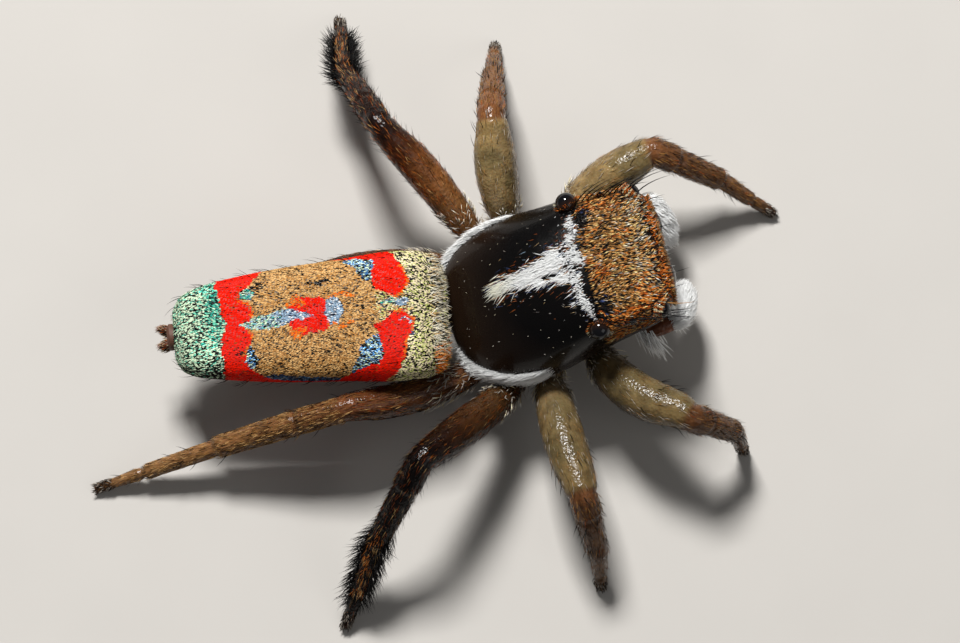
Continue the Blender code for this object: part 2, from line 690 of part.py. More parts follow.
def palp(side, sign, limbs):
    """A pedipalp in two nodes, held forward and down in front of the jaws."""
    joints = [
        head_point(-0.55, sign * 0.34, 0.60), head_point(-0.28, sign * 0.66, 0.76),
        head_point(0.01, sign * 0.60, 0.76), head_point(0.14, sign * 0.26, 0.46)]
    path, corners = bend_through(joints, (0.080, 0.095))
    halves = [0.060, 0.080, 0.078, 0.085, 0.090, 0.095, 0.110, 0.060]
    path, halves, where = subdivided(path, halves, [2, 1, 1, 1, 1, 1, 4])
    last = where[-2]
    for k, half in ((1, 0.130), (2, 0.130), (3, 0.105)):
        halves[last + k] = half
    limb = Limb(path, halves)
    split = where[corners[1]]
    upper = limb.solid(f"palp_{side}_upper", "mouthparts", 0, split)
    tip = limb.solid(f"palp_{side}_tip", "white_hair", split)
    forward = head_point(1, 0, 0) - head_point(0, 0, 0)
    outward = head_point(0, sign, 0) - head_point(0, 0, 0)
    count, length, half = PALP_LOCKS
    locks = []
    for i in range(count):
        at = split + 0.6 + (len(path) - 2.4 - split) * (i + 0.5) / count
        _, along, _, _, _ = limb.frame(at)
        turn = GOLDEN_TURN * i
        root = limb.point(at, turn, 0.5)
        normal = (limb.point(at, turn) - root).normalized()
        if normal.dot(forward) < -0.3:
            continue
        direction = normal * 0.55 + along * 0.9 + forward * 0.25
        locks.append(blade(root, direction, normal, (length, half, LOCK_THICKNESS), LOCK_BEND))
    tip = combine(tip, locks, "UNION")
    tuft = []
    count, length, half = TUFT_LOCKS
    for i in range(count):
        at = corners[0] + 1 + (split - corners[0] - 2.0) * i / (count - 1)
        middle, _, _, upward, thick = limb.frame(at)
        root = middle + upward * (thick * 0.5 * (1 - 2 * (i % 2)))
        direction = outward + forward * (0.35 * i / count) - Vector((0, 0, 0.1))
        for reach in (length, 0.6 * length):
            if clear_of(limbs, root, direction, reach):
                size = (reach, half, LOCK_THICKNESS)
                tuft.append(blade(root, direction, Vector((0, 0, 1)), size, -0.03))
                break
    upper = combine(upper, tuft, "UNION")
    return [upper, tip]


def pedicel():
    """The narrow waist, from the end of the sternum up to the abdomen's front."""
    path = [
        head_point(STERNUM_MIDDLE - STERNUM_HALF[0] - 1.5 * GAP, 0, 0.60), head_point(-2.14, 0, 0.60),
        head_point(-2.26, 0, 0.66), abdomen_point(0.035, 0, 0.82)]
    return Limb(path, (0.055, 0.050, 0.050, 0.060)).solid("pedicel", "underside", sides=8)


def spinnerets():
    """The three pairs of short spinning tubes at the abdomen's end, fused at their roots."""
    back = ABDOMEN_LENGTH
    base_path = [abdomen_point(back + GAP + k, 0, 0.93) for k in (0.0, 0.03, 0.06)]
    base = Limb(base_path, (0.13, 0.135, 0.10)).solid("spinnerets", "underside", sides=12)
    tubes = []
    for left, height, reach, half in (
        (0.070, 0.955, 0.155, 0.036), (0.075, 0.885, 0.130, 0.040), (0.030, 0.915, 0.100, 0.025)
    ):
        for sign in (1, -1):
            start = abdomen_point(back + GAP + 0.02, sign * left, height)
            end = abdomen_point(back + reach, sign * left * 1.25, height - 0.012)
            tube = Limb([start, start.lerp(end, 0.6), end], (half, half, half * 0.55))
            tubes.append(tube.solid("tube", "underside", sides=6))
    return combine(base, tubes, "UNION")


def settle(nodes):
    """Puts the origin under the middle of the whole animal's box, and turns sizes into metres."""
    points = np.array([tuple(v.co) for made in nodes for v in made.data.vertices])
    low, high = points.min(0), points.max(0)
    middle = Vector(((low[0] + high[0]) / 2, (low[1] + high[1]) / 2, low[2]))
    for made in nodes:
        made.data.transform(Matrix.Scale(MM, 4) @ Matrix.Translation(-middle))


def main():
    random.seed(7)
    clear_scene()
    shell = carapace()
    nodes = [shell, *eyes(shell), sternum(), abdomen(), pedicel(), spinnerets()]
    limbs = {name: leg_limb(name) for name in POSE}
    legs = [limb for limb, _, _ in limbs.values()]
    combine(shell, carapace_hair(legs), "UNION")
    for side, sign in (("left", 1), ("right", -1)):
        nodes.append(chelicera(side, sign))
        nodes += palp(side, sign, legs)
    for name, (limb, knee, ankle) in limbs.items():
        nodes += leg(name, limb, knee, ankle)
    settle(nodes)


main()
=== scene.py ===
"""Looks of a male peacock spider, life size, standing with its fan folded.

Sizes are millimetres of the real animal, in the body's own coordinates: X along the body towards the
face, Y to the spider's left and Z up from the floor. `in_frame` turns them into the frame's metres.
"""

import math

import bpy
import numpy as np
from bpy.props import FloatProperty, FloatVectorProperty, PointerProperty
from mathutils import Matrix, Vector


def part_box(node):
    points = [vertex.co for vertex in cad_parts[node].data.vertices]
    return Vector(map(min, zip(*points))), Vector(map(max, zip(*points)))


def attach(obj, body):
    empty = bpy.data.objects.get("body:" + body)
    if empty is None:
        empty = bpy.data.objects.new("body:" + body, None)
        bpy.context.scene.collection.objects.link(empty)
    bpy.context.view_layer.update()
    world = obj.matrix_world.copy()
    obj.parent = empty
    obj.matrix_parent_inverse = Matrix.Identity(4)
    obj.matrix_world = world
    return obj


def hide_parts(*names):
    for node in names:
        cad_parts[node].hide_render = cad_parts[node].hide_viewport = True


bl_info = {
    "name": "Peacock spider",
    "version": (1, 0, 0),
    "blender": (4, 5, 0),
    "location": "3D View > Sidebar > Spider",
    "description": "Skin, scales, hair and eyes of a small male jumping spider",
    "category": "Add Mesh",
}

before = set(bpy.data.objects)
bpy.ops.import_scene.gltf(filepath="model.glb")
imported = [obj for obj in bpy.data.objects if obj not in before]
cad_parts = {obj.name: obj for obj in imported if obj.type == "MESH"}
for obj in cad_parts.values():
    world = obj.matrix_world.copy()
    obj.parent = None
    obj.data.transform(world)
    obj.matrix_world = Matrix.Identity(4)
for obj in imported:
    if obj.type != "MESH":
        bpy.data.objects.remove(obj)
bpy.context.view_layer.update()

MM = 0.001

# The driving sizes of the body, the same as the solids'
HEAD_YAW = math.radians(4.6)
ABDOMEN_YAW = math.radians(-5.3)
FACE = (2.147, 0.176)
ABDOMEN_FRONT = (-0.115, -0.02)
CARAPACE_LENGTH = 2.235
FACE_DEPTH = 0.06
HEAD_TOP = 1.72
CARAPACE_FLOOR = 0.74
CLYPEUS_FLOOR = 1.02
STERNUM_HALF = (0.62, 0.32)
STERNUM_MIDDLE = -1.35
STERNUM_BOTTOM = 0.44
COXA_HEIGHT = 0.58
TROCHANTER_HEIGHT = {1: 0.61, 2: 0.57, 3: 0.57, 4: 0.57}
ABDOMEN_LENGTH = 2.70
ABDOMEN_END = ABDOMEN_LENGTH - 0.006  # the last ring, from which the rear end's dome starts
ABDOMEN_TOP = 1.42
ABDOMEN_BOTTOM = 0.56
EYES = {  # along, left, height, radius
    "eye_front_middle": (-0.195, 0.272, 1.380, 0.240),
    "eye_front_side": (-0.200, 0.600, 1.530, 0.100),
    "eye_small": (-0.500, 0.660, 1.575, 0.035),
    "eye_rear": (-0.840, 0.660, 1.560, 0.108),
}
EYE_LOOK = {  # the way each eye looks: forward, outward, upward
    "eye_front_middle": (1.0, 0.08, 0.0),
    "eye_front_side": (0.85, 0.50, 0.12),
    "eye_small": (0.10, 0.90, 0.50),
    "eye_rear": (-0.25, 0.85, 0.45),
}
LEG_HALF = {  # coxa, femur, patella, tibia, metatarsus, tarsus
    1: (0.140, 0.210, 0.150, 0.130, 0.085, 0.060),
    2: (0.140, 0.205, 0.150, 0.132, 0.085, 0.060),
    3: (0.140, 0.175, 0.140, 0.125, 0.095, 0.062),
    4: (0.135, 0.168, 0.135, 0.130, 0.088, 0.058),
}
FEMUR_ARCH = {1: 0.04, 2: 0.05, 3: 0.04, 4: -0.03}  # and upward
COXA_ROOT = {1: (-0.90, 0.36), 2: (-1.23, 0.42), 3: (-1.54, 0.41), 4: (-1.84, 0.31)}
TROCHANTER = {
    "leg1_left": (-0.80, 0.78),
    "leg2_left": (-1.42, 0.85),
    "leg3_left": (-1.78, 0.82),
    "leg4_left": (-2.04, 0.50),
    "leg1_right": (-0.90, -0.72),
    "leg2_right": (-1.41, -0.87),
    "leg3_right": (-1.77, -0.84),
    "leg4_right": (-2.06, -0.57),
}
POSE = {  # knee, ankle and toe: heading in degrees from +X, reach in plan, height
    "leg1_left": ((22, 0.99, 1.05), (-25, 0.75, 0.50), (-35, 0.59, 0)),
    "leg2_left": ((88.5, 0.92, 1.22), (78, 0.59, 0.60), (77, 0.40, 0)),
    "leg3_left": ((125, 1.28, 1.45), (108, 0.80, 0.75), (84, 0.67, 0)),
    "leg4_left": ((173, 1.38, 0.48), (-178, 1.18, 0.28), (-62, 0.62, 0)),
    "leg1_right": ((-48, 1.21, 1.15), (-15, 0.46, 0.62), (-56, 0.13, 0)),
    "leg2_right": ((-85, 1.29, 1.12), (-82, 0.52, 0.52), (-93, 0.26, 0)),
    "leg3_right": ((-146, 1.27, 1.45), (-132, 0.89, 0.75), (-123, 0.76, 0)),
    "leg4_right": ((-170.5, 1.41, 0.98), (-177, 1.33, 0.45), (-174, 1.27, 0)),
}
FEMUR_BOW = {  # how far a femur's middle is bowed rearward
    "leg1_left": 0.01, "leg2_left": 0.02, "leg3_left": -0.02, "leg4_left": -0.06,
    "leg1_right": 0.10, "leg2_right": 0.02, "leg3_right": -0.02, "leg4_right": -0.06,
}
PATELLA_SHARE = 0.36  # of the way from the knee to the ankle
TARSUS_SHARE = 0.60  # of the way from the ankle to the toe
TOE_HEIGHT = 0.045
SOLE = 0.004  # lowest level of skin and hair over the floor
SIDES = (("left", 1), ("right", -1))

# How wide the photograph is at the spider, and how the camera leans
FRAME_WIDTH = 9.60
CAMERA_LENS = 380.0
CAMERA_SENSOR = 36.0
CAMERA_LEAN = math.radians(11)  # from straight above, towards the spider's right
CAMERA_TURN = math.radians(10)  # the body's line over the picture's horizontal
AIM_HEIGHT = 0.85
PICTURE_MIDDLE = (0.231, -0.129)  # where the middle of the picture falls at that height

# Lights: direction from what they are aimed at, distance and side of the square
LIGHT_AIM = (0.2, 0.0, 0.9)
KEY_LIGHT = ((-0.12, 0.95, 1.35), 90, 20)
FILL_LIGHT = ((0.8, -0.7, 1.0), 110, 60)
SKY_COLOUR = (0.95, 0.97, 1.0, 1.0)
SKY_STRENGTH = 0.11
FLOOR_HALF = 400.0

# Colours, linear
BLACK = (0.0030, 0.0025, 0.0025)
NAVY = (0.014, 0.026, 0.080)
BLUE = (0.055, 0.19, 0.42)
SKY = (0.30, 0.44, 0.58)
TURQUOISE = (0.040, 0.50, 0.37)
SEA_GREEN = (0.22, 0.76, 0.52)
PALE_GREEN = (0.72, 0.90, 0.62)
YELLOW_GREEN = (0.62, 0.66, 0.20)
CREAM = (0.93, 0.79, 0.50)
GOLD = (0.48, 0.225, 0.060)
SAND = (0.74, 0.44, 0.17)
BROWN = (0.030, 0.013, 0.006)
OLIVE = (0.100, 0.078, 0.034)
RED = (0.84, 0.010, 0.001)
ORANGE = (0.86, 0.17, 0.008)
RUST = (0.36, 0.070, 0.008)
COPPER = (0.66, 0.185, 0.022)
BRONZE = (0.34, 0.165, 0.045)
GREY = (0.46, 0.40, 0.33)
INDIGO = (0.040, 0.060, 0.17)
WHITE = (0.93, 0.93, 0.91)

# What the scales of each marking are: share of the scales, colour, shine
ZONES = {
    "golden": ((0.40, GOLD, 0.0), (0.41, SAND, 0.0), (0.19, BLACK, 0.0)),
    "red": ((0.93, RED, 0.0), (0.03, RUST, 0.0), (0.04, BLACK, 0.0)),
    "orange": ((0.85, ORANGE, 0.0), (0.15, GOLD, 0.0)),
    "cream": ((0.44, CREAM, 0.1), (0.19, YELLOW_GREEN, 0.2), (0.37, BLACK, 0.0)),
    "meadow": ((0.32, SAND, 0.0), (0.20, YELLOW_GREEN, 0.2), (0.22, CREAM, 0.1), (0.26, BLACK, 0.0)),
    "turquoise": (
        (0.34, TURQUOISE, 0.6), (0.26, SEA_GREEN, 0.4), (0.10, PALE_GREEN, 0.1), (0.30, BLACK, 0.0)),
    "pale": ((0.48, PALE_GREEN, 0.1), (0.12, SEA_GREEN, 0.4), (0.40, BLACK, 0.0)),
    "sky": ((0.64, SKY, 0.4), (0.16, WHITE, 0.1), (0.20, NAVY, 0.2)),
    "blue": ((0.28, BLUE, 0.5), (0.20, SKY, 0.4), (0.20, PALE_GREEN, 0.1), (0.32, BLACK, 0.0)),
    "foam": ((0.40, SKY, 0.3), (0.32, PALE_GREEN, 0.2), (0.12, TURQUOISE, 0.4), (0.16, BLACK, 0.0)),
    "navy": ((0.52, NAVY, 0.4), (0.16, BLUE, 0.4), (0.08, SKY, 0.3), (0.06, GREY, 0.0), (0.18, BLACK, 0.0)),
    "black": ((1.0, BLACK, 0.0),),
    "flank": ((0.30, CREAM, 0.0), (0.35, BROWN, 0.0), (0.35, GREY, 0.0)),
}
ZONE_NAMES = list(ZONES)
COARSE_ZONES = ("pale", "cream", "turquoise", "blue")  # with wider scales over a dark skin
ZONE_COVER = {"red": 1.0, "orange": 1.0, "golden": 0.95, "sky": 0.95}  # how closely the scales stand
OTHER_COVER = 0.85


class CoatSettings(bpy.types.PropertyGroup):
    """How long and how close the scales and hairs grow, and their main colours."""

    scale_length: FloatProperty(
        name="Scale length", description="Length of one scale of the abdomen",
        default=0.037 * MM, min=0.0, unit="LENGTH", precision=6)
    scale_density: FloatProperty(
        name="Scales per mm²", description="How many scales grow on a square millimetre of the abdomen",
        default=8200.0, min=0.0)
    crown_length: FloatProperty(
        name="Crown hair length", description="Length of the flat hairs between the eyes",
        default=0.066 * MM, min=0.0, unit="LENGTH", precision=6)
    crown_density: FloatProperty(
        name="Crown hairs per mm²", description="How many hairs grow on a square millimetre of the crown",
        default=8000.0, min=0.0)
    streak_length: FloatProperty(
        name="White hair length", description="Length of the white hairs of the carapace",
        default=0.15 * MM, min=0.0, unit="LENGTH", precision=6)
    streak_colour: FloatVectorProperty(
        name="White hair colour", description="Colour of the white hairs of carapace and palps",
        default=WHITE, size=3, subtype="COLOR", min=0.0, max=1.0)
    leg_hair_length: FloatProperty(
        name="Leg hair length", description="Length of the fine hairs of the legs",
        default=0.095 * MM, min=0.0, unit="LENGTH", precision=6)
    brush_length: FloatProperty(
        name="Brush length", description="Length of the dark bristles of the third legs",
        default=0.17 * MM, min=0.0, unit="LENGTH", precision=6)


class StageSettings(bpy.types.PropertyGroup):
    """The floor and the light round the spider."""

    floor_colour: FloatVectorProperty(
        name="Floor colour", description="Colour of the plain floor",
        default=(0.50, 0.475, 0.44), size=3, subtype="COLOR", min=0.0, max=1.0)
    key_power: FloatProperty(
        name="Key light", description="Power of the main soft light", default=0.135, min=0.0, unit="POWER")
    fill_power: FloatProperty(
        name="Fill light", description="Power of the light from the other side",
        default=0.012, min=0.0, unit="POWER")


# Shapes

def smooth(stations, values, at):
    """A cubic curve through control values, whose slopes are harmonic means, so that it never overshoots."""
    x, y = np.array(stations, float), np.array(values, float)
    rise = np.diff(y) / np.diff(x)
    slopes = np.zeros_like(y)
    before, after = rise[:-1], rise[1:]
    same_way = before * after > 0
    slopes[1:-1][same_way] = 2 * before[same_way] * after[same_way] / (before + after)[same_way]
    slopes[0], slopes[-1] = rise[0], rise[-1]
    at = np.clip(at, x[0], x[-1])
    i = np.clip(np.searchsorted(x, at) - 1, 0, len(x) - 2)
    h = x[i + 1] - x[i]
    t = (at - x[i]) / h
    return (
        (2 * t**3 - 3 * t**2 + 1) * y[i]
        + (t**3 - 2 * t**2 + t) * h * slopes[i]
        + (3 * t**2 - 2 * t**3) * y[i + 1]
        + (t**3 - t**2) * h * slopes[i + 1]
    )


def unit(vectors):
    """Vectors divided by their length."""
    return vectors / np.maximum(np.linalg.norm(vectors, axis=-1, keepdims=True), 1e-12)


def placed(origin, yaw, forward, left, height):
    """Forward and left turned by the yaw about Z, moved to the origin, at the height."""
    forward, left, height = np.broadcast_arrays(forward, left, height)
    x = origin[0] + forward * math.cos(yaw) - left * math.sin(yaw)
    y = origin[1] + forward * math.sin(yaw) + left * math.cos(yaw)
    return np.stack((x, y, height), axis=-1)


def head_point(along, left, height):
    """A place measured forwards and left from the middle of the face."""
    return placed(FACE, HEAD_YAW, along, left, height)


def abdomen_point(back, left, height):
    """A place measured back and left from the abdomen's front end."""
    return placed(ABDOMEN_FRONT, ABDOMEN_YAW, -np.asarray(back, float), left, height)


HEAD_FORWARD = head_point(1, 0, 0) - head_point(0, 0, 0)
HEAD_LEFT = head_point(0, 1, 0) - head_point(0, 0, 0)
UP = np.array((0.0, 0.0, 1.0))
ABDOMEN_REAR = abdomen_point(1, 0, 0) - abdomen_point(0, 0, 0)


def offset_to_frame():
    """How far the frame's origin lies from the body's, found from the left front eye's box."""
    low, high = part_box("eye_front_middle_left")
    centre = np.array((low + high) / 2) / MM
    along, left, height, _ = EYES["eye_front_middle"]
    return centre - head_point(along, left, height)


OFFSET = offset_to_frame()


def in_frame(points):
    """Body millimetres as the frame's metres."""
    return (points + OFFSET) * MM


def superellipse(turn, half, top, middle, bottom, upper, lower):
    """Left and height of a section: cosine and sine to two over a power, above and below the middle."""
    c, s = np.cos(turn), np.sin(turn)
    power = np.where(s > 0, upper, lower)
    rise = np.where(s > 0, top - middle, middle - bottom)
    left = half * np.sign(c) * np.abs(c) ** (2 / power)
    return left, middle + rise * np.sign(s) * np.abs(s) ** (2 / power)


def carapace_shape(along, turn):
    """Squared sections between profile curves, raised in a ring round each eye and dented at the fovea."""
    rear = -CARAPACE_LENGTH
    half = smooth(
        (rear, rear + 0.02, rear + 0.09, rear + 0.28, rear + 0.55, rear + 0.87, -0.95, -0.60, -0.25,
         -0.12, -FACE_DEPTH),
        (0.16, 0.30, 0.48, 0.67, 0.785, 0.825, 0.780, 0.735, 0.690, 0.605, 0.535), along)
    middle = smooth((rear, rear + 0.10, rear + 0.60, -1.20, -0.85), (0.0, -0.03, -0.05, -0.035, 0.0), along)
    top = smooth(
        (rear, rear + 0.10, rear + 0.35, rear + 0.70, rear + 1.05, -0.75, -0.35, -FACE_DEPTH),
        (0.93, 1.06, 1.27, 1.50, 1.655, HEAD_TOP, 1.705, 1.640), along)
    widest = smooth((rear, rear + 0.6, -0.9, -0.3, -FACE_DEPTH), (0.86, 0.90, 1.02, 1.28, 1.34), along)
    under = smooth(
        (rear, rear + 0.25, -0.85, -0.55, -0.42, -FACE_DEPTH),
        (0.80, CARAPACE_FLOOR, CARAPACE_FLOOR, 0.93, CLYPEUS_FLOOR, CLYPEUS_FLOOR + 0.01), along)
    power = smooth((rear, rear + 0.9, -0.85, -FACE_DEPTH), (2.1, 2.3, 3.0, 3.4), along)
    left, height = superellipse(turn, half, top, widest, under, power, 3.2)
    fovea = np.exp(-(((along + 1.18) / 0.10) ** 2) - (left / 0.03) ** 2)
    place = head_point(along, left + middle, height - 0.025 * fovea * (np.sin(turn) > 0))
    for eye_along, eye_left, eye_height, radius in EYES.values():
        for sign in (1, -1):
            away = place - head_point(eye_along, sign * eye_left, eye_height)
            distance = np.linalg.norm(away, axis=-1, keepdims=True)
            ring = np.exp(-(((distance - radius) / (0.30 * radius)) ** 2))
            place = place + unit(away) * 0.16 * radius * ring
    return place


def ring_middle(shape, at, count):
    """The mean of a surface's points round one ring."""
    return shape(np.full(count, at), np.arange(count) * 2 * math.pi / count).mean(0)


def face_shape(share, turn):
    """The face: shares of the shell's last ring, a low dome that swells forwards towards its middle."""
    ring = carapace_shape(np.full(np.shape(turn), -FACE_DEPTH), turn)
    middle = ring_middle(carapace_shape, -FACE_DEPTH, 168)
    share = np.asarray(share)[..., None]
    return middle + (ring - middle) * share + HEAD_FORWARD * 0.03 * (1 - share**2)


def abdomen_profile(back):
    """Half width, top, widest level and underside of the abdomen behind its front."""
    end = ABDOMEN_LENGTH
    half = smooth(
        (0, 0.03, 0.10, 0.24, 0.50, 1.00, 1.60, 2.15, 2.45, 2.61, end - 0.02, end),
        (0.36, 0.50, 0.60, 0.655, 0.665, 0.625, 0.585, 0.520, 0.465, 0.395, 0.30, 0.22), back)
    top = smooth(
        (0, 0.08, 0.28, 0.80, 1.60, 2.30, 2.58, end),
        (1.20, 1.30, 1.39, ABDOMEN_TOP, 1.40, 1.335, 1.26, 1.10), back)
    widest = smooth((0, 0.15, 0.4, 2.2, end), (1.10, 1.05, 1.08, 1.06, 0.95), back)
    under = smooth(
        (0, 0.05, 0.20, 0.50, 1.30, 2.10, 2.50, end),
        (1.00, 0.90, 0.74, 0.61, ABDOMEN_BOTTOM, 0.63, 0.72, 0.82), back)
    return half, top, widest, under


def abdomen_shape(back, turn):
    """Flat-topped sections, drawn in by the scales' depth and, under the fold of the fan, by a crease."""
    half, top, widest, under = abdomen_profile(back)
    depth = 0.018
    left, height = superellipse(turn, half - depth, top - depth, widest, under + depth, 2.9, 2.05)
    crease = np.exp(-(((widest - 0.13 - height) / 0.035) ** 2))
    return abdomen_point(back, left * (1 - 0.045 * crease), height)


def abdomen_end_shape(share, turn):
    """The abdomen's rear end: shares of its last ring, a low dome that swells rearwards."""
    ring = abdomen_shape(np.full(np.shape(turn), ABDOMEN_END), turn)
    middle = ring_middle(abdomen_shape, ABDOMEN_END, 96)
    share = np.asarray(share)[..., None]
    return middle + (ring - middle) * share + ABDOMEN_REAR * 0.006 * (1 - share**2)


class Limb:
    """A round limb along joints: rounded corners, and a half thickness that is smooth between stations."""

    def __init__(self, path, halves, joints=(), tallness=1.0, wrinkle=0.10):
        self.path = np.array(path)
        steps = np.linalg.norm(np.diff(self.path, axis=0), axis=1)
        self.stations = np.concatenate(((0,), np.cumsum(steps)))
        self.length = self.stations[-1]
        self.halves = np.array(halves)
        self.joints = [self.stations[i] for i in joints]
        self.tallness = tallness
        self.wrinkle = wrinkle

    def middle(self, at):
        """The middle line, each coordinate smooth along the limb."""
        return np.stack([smooth(self.stations, self.path[:, i], at) for i in range(3)], axis=-1)

    def half(self, at):
        """The thickness, a little drawn in at each joint."""
        half = smooth(self.stations, self.halves, at)
        for joint in self.joints:
            half = half * (1 - self.wrinkle * np.exp(-(((at - joint) / 0.022) ** 2)))
        return half

    def axes(self, at):
        """Along the limb, level across it, and the third at right angles to both."""
        step = 0.01
        along = unit(self.middle(np.minimum(at + step, self.length)) - self.middle(np.maximum(at - step, 0)))
        across = unit(np.cross(UP, along))
        return along, across, np.cross(along, across)

    def shape(self, at, turn):
        """The middle line, moved out by the half thickness at an angle round it, and kept over the floor."""
        _, across, upward = self.axes(at)
        half = self.half(at)[..., None]
        cosine, sine = np.cos(turn)[..., None], np.sin(turn)[..., None]
        place = self.middle(at) + across * half * cosine + upward * half * self.tallness * sine
        place[..., 2] = np.maximum(place[..., 2], SOLE)
        return place


def bend_through(points, halves):
    """A polyline with each corner rounded by an arc of three points, and each corner's index."""
    path, corners = [points[0]], []
    for before, corner, after, half in zip(points, points[1:], points[2:], halves):
        back, on = before - corner, after - corner
        length_back, length_on = np.linalg.norm(back), np.linalg.norm(on)
        bend = math.pi - math.acos(np.dot(back, on) / (length_back * length_on))
        ease = max(0.05, 1.25 * half * math.tan(bend / 2))
        start = corner + back * min(ease / length_back, 0.42)
        end = corner + on * min(ease / length_on, 0.42)
        corners.append(len(path) + 1)
        path += [start, (start + 4 * corner + end) / 6, end]
    path.append(points[-1])
    return path, corners


def subdivided(path, halves, spans):
    """Extra stations between those of a path, and where the first ones have gone."""
    new_path, new_halves, where = [], [], []
    for i, parts in enumerate(spans):
        where.append(len(new_path))
        for k in range(parts):
            t = k / parts
            new_path.append(path[i] * (1 - t) + path[i + 1] * t)
            new_halves.append(halves[i] + (halves[i + 1] - halves[i]) * (3 * t**2 - 2 * t**3))
    where.append(len(new_path))
    return new_path + [path[-1]], new_halves + [halves[-1]], where


def leg_joints(name):
    """Coxa root, trochanter, knee, end of patella, ankle, start of tarsus and toe."""
    pair, sign = int(name[3]), (1 if name.endswith("left") else -1)
    root = head_point(COXA_ROOT[pair][0], sign * COXA_ROOT[pair][1], COXA_HEIGHT)
    joints = [root, head_point(*TROCHANTER[name], TROCHANTER_HEIGHT[pair])]
    for heading, reach, height in POSE[name]:
        angle = math.radians(heading)
        x, y, _ = joints[-1]
        joints.append(np.array((x + reach * math.cos(angle), y + reach * math.sin(angle), height)))
    root, trochanter, knee, ankle, toe = joints
    toe = toe + UP * TOE_HEIGHT
    patella_end = knee + (ankle - knee) * PATELLA_SHARE + UP * 0.03
    tarsus_start = ankle + (toe - ankle) * TARSUS_SHARE - UP * 0.018
    return [root, trochanter, knee, patella_end, ankle, tarsus_start, toe]


def leg_limb(name):
    """A leg through its joints, the femur thicker in its middle, bowed rearward and arched upward."""
    pair = int(name[3])
    coxa, femur, patella, tibia, metatarsus, tarsus = LEG_HALF[pair]
    path, corners = bend_through(leg_joints(name), (coxa, patella, patella, metatarsus, tarsus))
    halves = [
        coxa * 0.62, coxa, coxa * 0.80, femur * 0.74, femur * 0.84, patella * 1.02, patella * 0.95,
        patella * 0.96, patella * 0.86, tibia * 0.98, tibia * 0.86, tibia * 0.72, metatarsus * 0.98,
        metatarsus * 0.88, tarsus * 0.95, tarsus * 1.05, tarsus * 0.72]
    spans = [2, 1, 1, 4, 1, 1, 3, 1, 1, 4, 1, 1, 3, 1, 1, 3]
    path, halves, where = subdivided(path, halves, spans)
    first = where[3]
    run = path[first + 4] - path[first]
    rearward = unit(np.array((run[1], -run[0], 0.0)))
    rearward = rearward * -np.sign(rearward[0])
    for k, share in ((1, 0.95), (2, 1.03), (3, 1.0)):
        halves[first + k] = femur * share
        push = math.sin(math.pi * k / 4)
        path[first + k] = path[first + k] + push * (rearward * FEMUR_BOW[name] + UP * FEMUR_ARCH[pair])
    return Limb(path, halves, [where[i] for i in corners], 1.06)


def palp_limb(sign):
    """A pedipalp, thickest near its tip."""
    joints = [
        head_point(-0.55, sign * 0.34, 0.60), head_point(-0.28, sign * 0.66, 0.76),
        head_point(0.01, sign * 0.60, 0.76), head_point(0.14, sign * 0.26, 0.46)]
    path, corners = bend_through(joints, (0.080, 0.095))
    halves = [0.060, 0.080, 0.078, 0.085, 0.090, 0.095, 0.110, 0.060]
    path, halves, where = subdivided(path, halves, [2, 1, 1, 1, 1, 1, 4])
    for k, half in ((1, 0.130), (2, 0.130), (3, 0.105)):
        halves[where[-2] + k] = half
    return Limb(path, halves, [where[i] for i in corners], wrinkle=0.08)


# Meshes

def make_object(name, mesh, look):
    """A piece that rides on the one body."""
    piece = bpy.data.objects.new(name, mesh)
    bpy.context.scene.collection.objects.link(piece)
    mesh.materials.append(look)
    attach(piece, "root")
    return piece


def mesh_from_triangles(name, points, triangles, tints=None, patch=None, smooth_shading=True):
    """A mesh from arrays of points and triangles, with a colour and a place on the unwrap for each point."""
    mesh = bpy.data.meshes.new(name)
    mesh.vertices.add(len(points))
    mesh.vertices.foreach_set("co", in_frame(points).astype(np.float32).ravel())
    mesh.loops.add(triangles.size)
    mesh.loops.foreach_set("vertex_index", triangles.astype(np.int32).ravel())
    mesh.polygons.add(len(triangles))
    mesh.polygons.foreach_set("loop_start", np.arange(0, triangles.size, 3, dtype=np.int32))
    mesh.polygons.foreach_set("use_smooth", np.full(len(triangles), smooth_shading))
    mesh.update(calc_edges=True)
    if tints is not None:
        layer = mesh.color_attributes.new("tint", "FLOAT_COLOR", "POINT")
        layer.data.foreach_set("color", tints.astype(np.float32).ravel())
    if patch is not None:
        unwrap = mesh.uv_layers.new(name="OFBake")
        unwrap.data.foreach_set("uv", patch[triangles.ravel()].astype(np.float32).ravel())
    return mesh


def grid_triangles(rows, columns):
    """Triangles over a grid whose columns close round, with one point before and one after its rows."""
    corner = np.arange(rows * columns).reshape(rows, columns)
    a, b = corner[:-1], np.roll(corner[:-1], -1, axis=1)
    c, d = np.roll(corner[1:], -1, axis=1), corner[1:]
    quads = np.concatenate((np.stack((a, b, c), -1).reshape(-1, 3), np.stack((a, c, d), -1).reshape(-1, 3)))
    first, last = corner[0], corner[-1]
    start = np.full(columns, rows * columns)
    end = start + 1
    caps = np.concatenate((
        np.stack((start, np.roll(first, -1), first), -1), np.stack((end, last, np.roll(last, -1)), -1)))
    return np.concatenate((quads, caps))


def closed_surface(name, look, grid, tints, outward_turn=1):
    """A skin over a grid of points that closes round, with its ends drawn to a point."""
    rows, columns = grid.shape[:2]
    points = np.concatenate((grid.reshape(-1, 3), grid[:1].mean(1), grid[-1:].mean(1)))
    triangles = grid_triangles(rows, columns)
    if outward_turn < 0:
        triangles = triangles[:, ::-1]
    tints = np.concatenate((tints.reshape(-1, 4), tints[:1].mean(1), tints[-1:].mean(1)))
    return make_object(name, mesh_from_triangles(name, points, triangles, tints), look)


def turns_round(count):
    """Equal angles round a ring, starting half a step on."""
    return (np.arange(count) + 0.5) * 2 * math.pi / count


